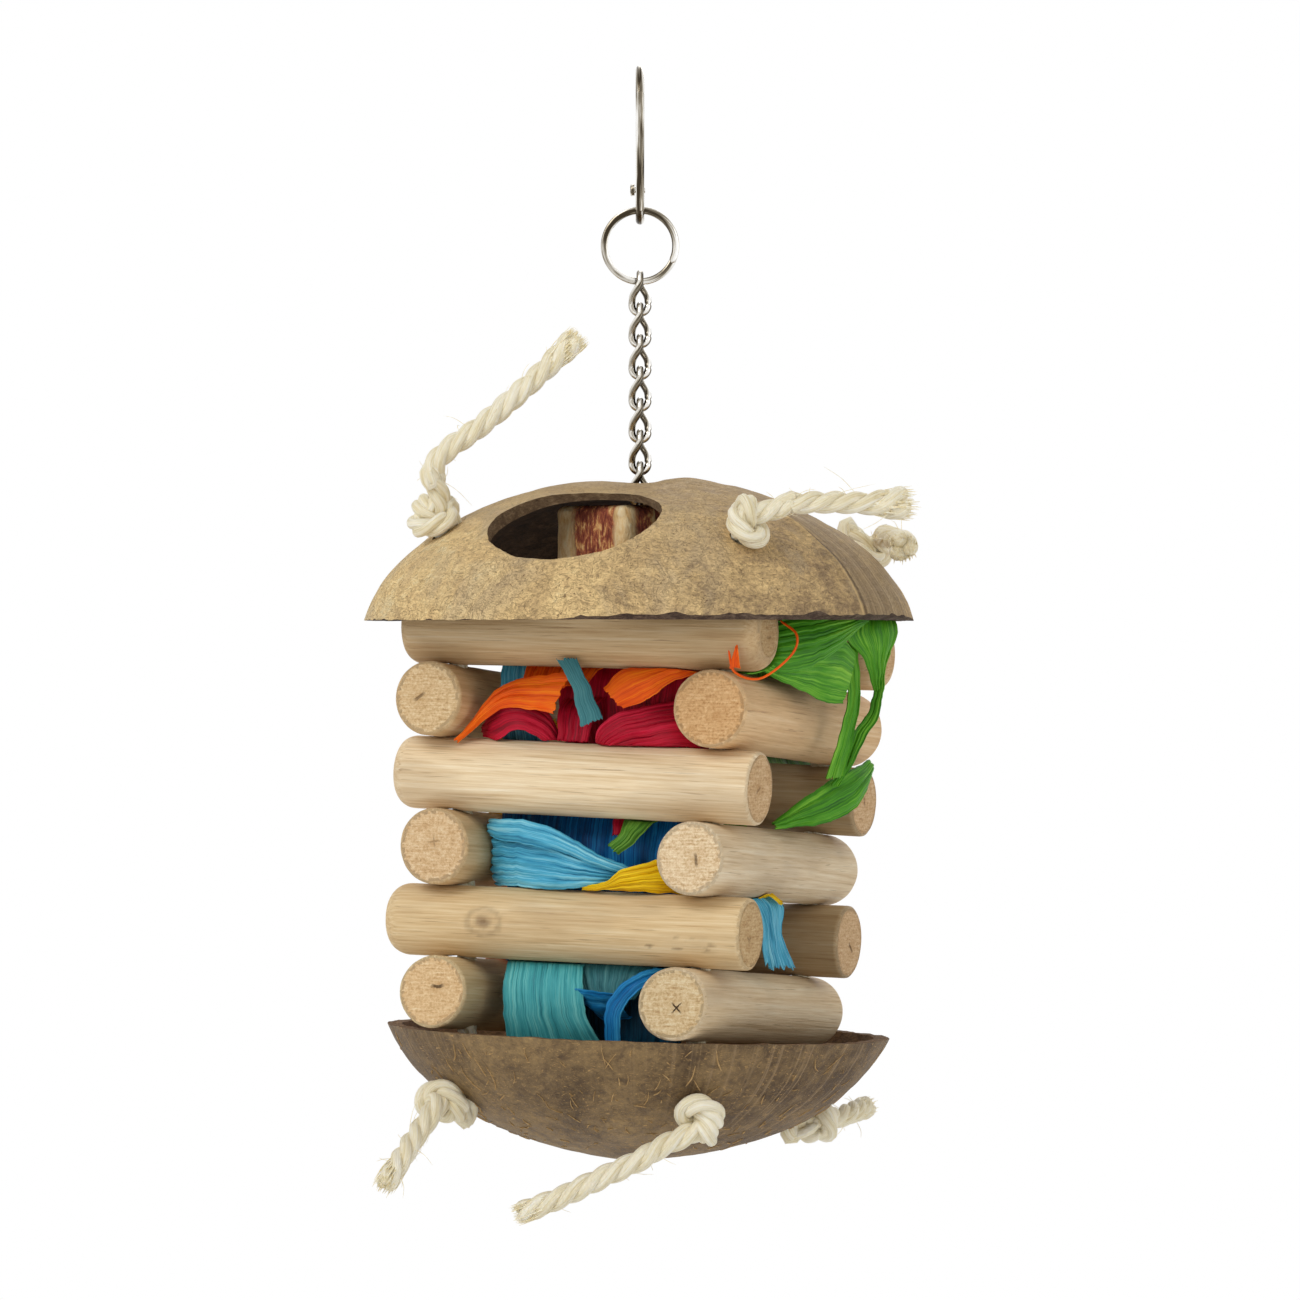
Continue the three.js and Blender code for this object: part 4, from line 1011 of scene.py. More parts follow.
def closed_frames(path):
    """Directions along, away from the middle of, and over a closed loop."""
    along = unit(np.roll(path, -1, axis=0) - np.roll(path, 1, axis=0))
    out = path - path.mean(axis=0)
    side = unit(out - along * (out * along).sum(axis=1, keepdims=True))
    return along, side, np.cross(along, side)


def link_path(middle, count=96):
    """A link twisted a quarter turn between its top and bottom arcs."""
    bend = (LINK_WIDTH - LINK_WIRE) / 2
    straight = (LINK_LENGTH - LINK_WIRE) / 2 - bend
    quarter = math.pi * bend / 2
    half = 2 * (straight + quarter)
    length = 2 * half * np.arange(count) / count
    sign = np.where(length < half, 1, -1)
    place = length % half
    first, last = (np.minimum(gap, quarter) / bend for gap in (place, half - place))
    side = np.clip(straight + quarter - place, -straight, straight)
    out = sign * bend * np.sin(first) * np.sin(last)
    up = sign * (side + bend * (np.cos(first) - np.cos(last)))
    turn = math.pi / 2 * smoothstep(-up, -straight, straight)
    return np.column_stack([out * np.sin(turn), out * np.cos(turn), middle + up])


def chain():
    for n in range(1, LINK_COUNT + 1):
        low, high = node_box(f"chain_link_{n}")
        path = hung(link_path((low[2] + high[2]) / 2))
        share = np.linspace(0, 1, len(path), endpoint=False)
        nip = 1 - 0.3 * bell(share - LINK_CUT, 0.008)
        link = Shape()
        tube(link, path, LINK_WIRE / 2 * nip, sides=16, closed=True, frames=closed_frames(path))
        body = f"link_{n}" if n < LINK_COUNT else "anchor"
        piece(f"link_{n}_wire", link, [nickel], f"chain_link_{n}", body)


clip_and_gate()
split_ring()
chain()


# Shells and block, with their holes cut
def rod(start, end, radius, sides=48, ragged=0.0):
    """A closed rod that only cuts, with a ragged outline if that is set."""
    shape = Shape()
    start = np.asarray(start, float)
    axis = np.asarray(end, float) - start
    lathe(shape, [(radius, 0), (radius, np.linalg.norm(axis))], start, axis, sides)
    rings = shape.points[0].reshape(2, sides, 3)
    middle = rings.mean(axis=1, keepdims=True)
    off = rings - middle
    waves = ripples(off[:1], (1, radius * 0.22, 0), (0.6, radius * 0.08, 4.0))
    shape.points[0] = (middle + off * (1 + ragged / radius * waves[..., None])).reshape(-1, 3)
    return shape


def cut(obj, rods, material):
    """Cuts holes in a piece. The holes' walls take the material."""
    tools = []
    for shape in rods:
        mesh = new_mesh("tool", shape.points, shape.faces)
        mesh.materials.append(material)
        tools.append(link_object("tool", mesh))
        change = obj.modifiers.new("hole", "BOOLEAN")
        change.operation = "DIFFERENCE"
        change.solver = "EXACT"
        change.object = tools[-1]
        change.material_mode = "TRANSFER"
    graph = bpy.context.evaluated_depsgraph_get()
    mesh = bpy.data.meshes.new_from_object(obj.evaluated_get(graph))
    obj.modifiers.clear()
    obj.data = mesh
    mesh.shade_smooth()
    mesh.set_sharp_from_angle(angle=math.radians(40))
    for tool in tools:
        bpy.data.objects.remove(tool)


def weld(obj):
    """Joins vertices that lie in one place."""
    mesh = bmesh.new()
    mesh.from_mesh(obj.data)
    bmesh.ops.remove_doubles(mesh, verts=mesh.verts, dist=WELD * MM)
    bmesh.ops.recalc_face_normals(mesh, faces=mesh.faces)
    mesh.to_mesh(obj.data)
    mesh.free()


def shell(form, bumps, rim_lift):
    """A closed half shell over the XY plane: outside, rim and inside, as three finishes."""
    turn = round_turn(SHELL_SIDES)
    ease = np.sin(np.linspace(0.004, 1, SHELL_ROWS) * math.pi / 2)
    shape = Shape()
    faces = grid_faces(SHELL_ROWS, SHELL_SIDES, wrap=True)
    pole = tuple(range(SHELL_SIDES))
    for inside, side in ((False, form), (True, inside_of(form))):
        radius = side["rim"] * ease[:, None] * np.ones((1, SHELL_SIDES))
        flat = rolled(radius, turn, shell_height(radius, **side))
        flat = flat + unit(flat * SHELL_OUT) * bumps(flat, turn, inside)[..., None]
        flat[..., 2] += rim_lift(turn, inside) * smoothstep(ease, 0.9, 1.0)[:, None] ** 2
        if inside:
            shape.add(flat, faces + [pole[::-1]], 2)
        else:
            shape.add(flat, flipped(faces) + [pole], 0)
    count = SHELL_ROWS * SHELL_SIDES
    edge = range(count - SHELL_SIDES, count)
    for here, after in zip(edge, [*edge[1:], edge[0]]):
        shape.faces.append((after, count + after, count + here, here))
        shape.finish.append(1)
    return shape


def roof_bumps(flat, turn, inside):
    x, y = flat[..., 0], flat[..., 1]
    far = np.hypot(x, y)
    three = 0.5 * np.cos(3 * (turn - ROOF_RIDGE)) * smoothstep(far, 15, 60)
    across = x * RIGHT[0] + y * RIGHT[1]
    away = x * AWAY[0] + y * AWAY[1]
    shoulder = 1.3 * bell(far - 22, 15) * (across / np.maximum(far, 1)) ** 2
    crown = 1.2 * bell(across - 12, 6, away, 12)
    thin = bell(x, 19, y + 24, 9)  # the wall is thin behind the foraging hole
    round_way = ((turn - ROOF_RIDGE + math.pi) % (2 * math.pi) - math.pi) * far
    crest = bell(round_way + 0.9, 1.1) - 0.9 * bell(round_way - 0.6, 0.7)
    rough = ripples(flat, (0.45, 14.0, 0.0), (0.16, 4.0, 5.0))
    total = three + shoulder + crown + rough + 0.7 * crest * smoothstep(far, 26, 40)
    return 0.5 * total + 0.6 * thin if inside else total - 1.6 * thin


def roof_lift(turn, inside):
    spots = rolled(RIM_CIRCLE, turn, 0.0)
    ragged = ripples(spots, (0.3, 5.0, 0.0), (0.18, 1.8, 3.0))
    if inside:
        return ragged * 0.4
    broken = smoothstep(np.cos(turn - ROOF_BROKEN), 0.55, 0.85)
    chip = np.maximum(ripple(spots, 3.2, 8.0), 0) * 1.2 + 1.1
    return ragged + broken * chip + np.maximum(ripple(spots, 2.6, 20.0) - 0.25, 0) * 1.6


def bowl_bumps(flat, turn, inside=False):
    far = np.hypot(flat[..., 0], flat[..., 1])
    lean = 0.7 * np.cos(2 * turn + 0.6) * smoothstep(far, 15, 60)
    foot = 1.2 * bell(far, 18)
    total = lean + foot + 0.5 * ripple(flat, 16.0, 2.0) + 0.15 * ripple(flat, 3.5, 9.0)
    return 0.5 * total if inside else total


def bowl_lift(turn, _inside):
    spots = rolled(RIM_CIRCLE, turn, 0.0)
    ragged = ripples(spots, (0.2, 6.0, 1.0), (0.1, 1.6, 4.0))
    return ragged - np.maximum(ripple(spots, 2.4, 30.0) - 0.35, 0) * 0.8


def rope_holes(shell_gap, top):
    """Rods for a shell's four rope holes."""
    rods = []
    for corner in CORNERS:
        knot = knot_centre(corner, top)
        rods.append(rod(knot - out_of(shell_gap, knot) * ROPE_CUT, knot, ROPE_HOLE / 2, 24))
    return rods


def shells():
    shape = shell(ROOF, roof_bumps, roof_lift)
    for part in shape.points:
        part *= np.array([1, ROOF_OVAL, 1])
        part += UP * roof_rim
    roof = piece("shell_roof", shape, [roof_pale, roof_edge, roof_inner], "coconut_roof")
    slant = np.array([0, -math.sin(FORAGING_SLANT), math.cos(FORAGING_SLANT)])
    middle = np.array([0, -FORAGING_REACH, roof_rim + shell_height(FORAGING_REACH, **inside_of(ROOF))])
    inwards, outwards = FORAGING_CUT
    foraging = rod(middle - slant * inwards, middle + slant * outwards, FORAGING_HOLE / 2, 180, 0.3)
    chain_way = rod(*(UP * (roof_rim + height) for height in CHAIN_CUT), CHAIN_HOLE / 2)
    cut(roof, [foraging, chain_way, *rope_holes(over_roof, True)], hole_wall)

    shape = shell(BOWL, bowl_bumps, bowl_lift)
    for part in shape.points:
        part[:] = to_bowl(part)
    bowl = piece("shell_bowl", shape, [bowl_dark, bowl_edge, bowl_inner], "coconut_bowl")
    cut(bowl, rope_holes(under_bowl, False), bowl_edge)


def bowl_fibres():
    """Short broken husk fibres that lie on the bowl."""
    draws = random.Random(5)
    shape = Shape()
    for _ in range(BOWL_FIBRES):
        angle = draws.uniform(0, 2 * math.pi)
        reach = BOWL["rim"] * math.sqrt(draws.uniform(0.12, 0.97))
        heading = angle + draws.gauss(0, 0.9)
        length = draws.uniform(0.8, 4.6)
        bend = draws.uniform(-0.5, 0.5)
        line = []
        for share in (-0.5, 0.0, 0.5):
            turn = heading + bend * share
            x = reach * math.cos(angle) + length * share * math.cos(turn)
            y = reach * math.sin(angle) + length * share * math.sin(turn)
            far = min(np.hypot(x, y), BOWL["rim"] - FIBRE_MARGIN)
            spot = np.array([x, y, float(shell_height(far, **BOWL)) + FIBRE_LIFT])
            around = np.array([math.atan2(y, x)])
            bump = float(bowl_bumps(spot[None, None], around)[0, 0])
            line.append(to_bowl(spot + unit(spot * SHELL_OUT) * bump))
        fibre(shape, line, draws.uniform(0.1, 0.24))
    piece("bowl_fibres", shape, [fibre_gold])


def block():
    """A bark-covered block whose corners show bare wood, one patch widened as painted light on a lit edge,
    and its pin.
    """
    low, high = node_box("anchor_block")
    steps = (BLOCK_SIZE / BLOCK_STEP).astype(int)
    shape = Shape()
    for axis in range(3):
        u, v = [k for k in range(3) if k != axis]
        faces = grid_faces(steps[u] + 1, steps[v] + 1)
        for sign in (-1, 1):
            spots = np.zeros((steps[u] + 1, steps[v] + 1, 3))
            spots[..., u] = np.linspace(-0.5, 0.5, steps[u] + 1)[:, None]
            spots[..., v] = np.linspace(-0.5, 0.5, steps[v] + 1)
            spots[..., axis] = sign * 0.5
            even = (axis == 1) != (sign > 0)
            shape.add(spots * BLOCK_SIZE, faces if even else flipped(faces))
    spots = np.vstack(shape.points)
    core = np.clip(spots, BLOCK_ROUND - BLOCK_SIZE / 2, BLOCK_SIZE / 2 - BLOCK_ROUND)
    spots = core + unit(spots - core) * BLOCK_ROUND
    rough = 0.45 * ripple(spots, 5.0) + 0.25 * ripple(spots * np.array([1, 1, 0.3]), 1.6)
    spots = spots + unit(spots * np.array([1, 1, 0.4])) * rough[:, None]
    # Distances to the bare wood patches, one of them partly painted light.
    marks = [np.hypot(spots[:, 0] - x, spots[:, 1] - y) * 4.0 / reach for x, y, reach in BARE_AND_LIT_CORNERS]
    shape.points = [spots @ turn_about(2, BLOCK_TURN).T + UP * (low[2] + high[2]) / 2]
    shape.mark = [np.min(marks, axis=0)]
    made = piece("bark_block", shape, [bark], "anchor_block", "anchor")
    weld(made)
    top = high[2]
    rods = []
    for depth, width in ((BLOCK_MOUTH_DEPTH, BLOCK_MOUTH), (BLOCK_BORE_DEPTH, BLOCK_BORE)):
        rods.append(rod(UP * (top - depth), UP * (top + CUT_OVER), width / 2))
    cut(made, rods, bark)
    start, end = node_box("anchor_pin")
    middle = (start + end) / 2
    reach = AWAY * (np.linalg.norm((end - start)[:2]) / 2 - PIN_SHORTER)
    pin = Shape()
    tube(pin, spline([middle - reach, middle, middle + reach], 0.6), PIN_RADIUS, sides=16)
    piece("pin_rod", pin, [nickel], "anchor_pin", "anchor")


shells()
bowl_fibres()
block()


# Sticks
def log_line(node):
    """A stick's end middles and its radius, from its CAD node."""
    spots = corners(node)
    middle = spots.mean(axis=0)
    axis = np.linalg.svd(spots - middle, full_matrices=False)[2][0]
    axis = axis * np.sign(axis.sum())
    reach = (spots - middle) @ axis
    start = spots[reach < reach.min() + 0.7].mean(axis=0)
    end = spots[reach > reach.max() - 0.7].mean(axis=0)
    axis = unit(end - start)
    off = spots - start
    radius = np.linalg.norm(off - (off @ axis)[:, None] * axis, axis=1).max()
    return start, end, radius


LOGS = {name: log_line(name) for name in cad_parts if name.startswith("stick_")}


def clear_of(points, line, room):
    """Moves points out of a stick, straight away from its middle line."""
    start, end, radius = line
    axis = unit(end - start)
    off = points - start
    place = off @ axis
    side = off - place[..., None] * axis
    reach = np.linalg.norm(side, axis=-1)
    inside = (reach < radius + room) & (place > -room) & (place < np.linalg.norm(end - start) + room)
    push = np.where(inside, (radius + room) / np.maximum(reach, 1e-6), 1.0)
    return start + place[..., None] * axis + side * push[..., None]


def sticks():
    for number, (name, (start, end, radius)) in enumerate(LOGS.items()):
        side_tint_with_shading, end_tint, open_pith, arms, *rounded = STICKS[name]
        draws = random.Random(name)
        axis = unit(end - start)
        length = np.linalg.norm(end - start)
        over = unit(UP - axis * axis[2])
        side = np.cross(over, axis)
        place = length * (0.5 - 0.5 * np.cos(np.linspace(0, 1, STICK_RINGS) * math.pi))
        place = 0.35 * place + 0.65 * np.linspace(0, length, STICK_RINGS)
        turn = round_turn(STICK_SIDES)
        inset = 0.0
        for soft, gap in zip(rounded, (place, length - place)):
            near = np.clip(1 - gap / soft, 0, 1)
            inset = inset + soft * 0.8 * (1 - np.sqrt(1 - near**2))
        spots = rolled(np.ones((STICK_RINGS, 1)), turn, place[:, None] / 30.0)
        wave = ripples(spots, (0.016, 0.9, 3.1 * number), (0.006, 0.3, 7.7 * number))
        lobes = 0.012 * np.cos(2 * turn + draws.uniform(0, 6))
        wide = (radius - STICK_ROOM - inset)[:, None] * (1 + wave + lobes - 0.012)
        flat = rolled(wide, turn, place[:, None])
        mark = knotted(flat, place[:, None], turn, radius) if name == KNOTTY_STICK else None
        body = start + flat[..., :1] * side + flat[..., 1:2] * over + flat[..., 2:] * axis
        layer = int(name.split("_")[1])
        for other, line in LOGS.items():
            if int(other.split("_")[1]) == layer + 1:
                body = clear_of(body, line, STICK_ROOM)
        shape = Shape()
        faces = flipped(grid_faces(STICK_RINGS, STICK_SIDES, wrap=True))
        shape.add(body, faces, 0, flat + np.array([41.0, 23.0, 177.0]) * number, mark)
        for last, row, out in ((0, 0, -axis), (1, -1, axis)):
            end_face(shape, body[row], flat[row, :, :2], out, draws, number * 2 + last, open_pith)
        paints = [wood_paint(name, side_tint_with_shading), end_paint(name, end_tint, arms)]
        weld(piece("log_" + name[6:], shape, paints, name))


def knotted(flat, place, turn, radius):
    """Marks for a side knot and some specks on a stick. The knot stands out of it a little."""
    def gap_round(angle):
        return np.radians((np.degrees(turn) - angle + 180) % 360 - 180) * radius

    along, angle, reach = STICK_KNOT
    gap = np.hypot((place - along) * 0.75, gap_round(angle)) / reach
    uneven = gap + 0.12 * ripple(flat, 1.4, 2.0)
    mark = bell(uneven, 0.3) * 0.75
    mark += 0.3 * bell(uneven - 0.7, 0.13)
    along, angle, reach = STICK_SPECKS
    near = np.hypot((place - along) / reach, gap_round(angle) / 3.0)
    dots = ripple(flat * np.array([1, 1, 0.35]), 0.9, 6.0)
    mark += 0.6 * smoothstep(dots, 0.2, 0.5) * (1 - smoothstep(near, 0.5, 1.0))
    flat[..., :2] *= (1 + 0.035 * bell(gap, 0.9) - 0.05 * bell(gap, 0.2))[..., None]
    return mark


def end_face(shape, edge, flat, out, draws, number, open_pith):
    """A sawn end: rings of points from its edge to its middle, with the pith a little off it."""
    steps, columns = END_STEPS, len(flat)
    pith = np.array([draws.uniform(-PITH_OFF, PITH_OFF) for _ in range(2)])
    middle = edge.mean(axis=0)
    share = np.linspace(1, 0.03, steps)[:, None, None]
    inward = 1 - share[..., 0]
    spots = middle + (edge - middle)[None] * share
    rough = ripples(spots, (0.12, 2.2, 4.4 * number), (0.08, 0.8, 9.0))
    spots = spots + out * (rough * smoothstep(inward, 0, 0.15))[..., None]
    seed = np.full((steps, columns, 1), 3.7 * number)
    grain = np.concatenate([flat * share - pith, seed], axis=2)
    faces = grid_faces(steps, columns, wrap=True) + [tuple(range((steps - 1) * columns, steps * columns))]
    marks = open_pith * smoothstep(inward, 0, 0.3) * np.ones((1, columns))
    shape.add(spots, faces, 1, grain, marks)


sticks()


# Husk leaves: two edges each, from one end of the leaf to the other
def leaf(name, colour, pleats, depth, left, right, bulge=0.0, ragged=0.8, node=None):
    """A thin pleated leaf between two edges, clear of the sticks. Returns it, its flat size and area."""
    columns = max(8 * pleats, 24)
    seed = sum(ord(c) for c in name) * 0.37
    a, b = spline(left, count=LEAF_ROWS), spline(right, count=LEAF_ROWS)
    a = a + unit(a - b) * 0.4 * ripples(a, (1, 3.5, seed), (0.5, 1.2, seed))[:, None]
    b = b + unit(b - a) * 0.4 * ripples(b, (1, 3.5, seed + 3), (0.5, 1.2, seed))[:, None]
    u = np.linspace(0, 1, columns + 1)[None]
    v = np.linspace(0, 1, LEAF_ROWS + 1)[:, None]
    spots = a[:, None] * (1 - u[..., None]) + b[:, None] * u[..., None]
    along = unit(np.gradient(spots, axis=0))
    normal = unit(np.cross(along, np.gradient(spots, axis=1)))
    if (normal * spots * np.array([1, 1, 0])).sum() < 0:
        normal = -normal
    sway = np.stack(np.broadcast_arrays(u * 3, v * 2, 0.0), axis=-1)
    phase = pleats * u + 0.22 * ripple(sway, 0.8, seed)
    strength = 0.3 + 0.7 * smoothstep(ripple(sway, 0.4, seed + 5), -0.35, 0.4)
    fold = np.sin(2 * math.pi * phase) + 0.35 * np.sin(4 * math.pi * phase + 1)
    height = depth * strength * fold + bulge * 4 * u * (1 - u) + 0.3 * ripple(spots, 7.0, seed)
    spots = spots + normal * height[..., None]
    tip = v**8 - (1 - v) ** 8
    tear = ragged * (ripple(sway * 6, 0.8, seed + 9) + 0.5 * ripple(sway * 18, 0.8, seed + 2))
    spots = spots + along * (tip * tear)[..., None]
    for line in [*LOGS.values()] * 2:
        spots = clear_of(spots, line, LEAF_ROOM)

    steps = [np.linalg.norm(np.diff(spots, axis=axis), axis=2) for axis in (0, 1)]
    length, width = (np.percentile(step.sum(axis=axis), 90) for axis, step in enumerate(steps))
    cross = np.cross(np.diff(spots, axis=0)[:, :-1], np.diff(spots, axis=1)[:-1])
    area = np.linalg.norm(cross, axis=2).sum()
    normal = unit(np.cross(np.gradient(spots, axis=0), np.gradient(spots, axis=1)))
    grain = np.stack(np.broadcast_arrays(u * width + seed * 7, seed, v * length), axis=-1)
    shape = Shape()
    sheet_faces(shape, spots, normal * LEAF_HALF, grain)
    obj = piece("leaf_" + name, shape, [HUSKS[colour]], node and "husk_" + node)
    return obj, (float(width * MM), float(length * MM)), float(area * MM**2)


def sheet_faces(shape, spots, half, grain):
    """Both faces and the edges of a thin sheet."""
    rows, columns = spots.shape[:2]
    front = grid_faces(rows, columns)
    shape.add(spots + half, flipped(front), 0, grain)
    shape.add(spots - half, front, 0, grain)
    count = rows * columns
    border = [*range(columns), *range(2 * columns - 1, count, columns)]
    border += [*range(count - 2, count - columns - 1, -1), *range(count - 2 * columns, 0, -columns)]
    for here, after in zip(border, border[1:] + border[:1]):
        shape.faces.append((here, after, count + after, count + here))
        shape.finish.append(0)


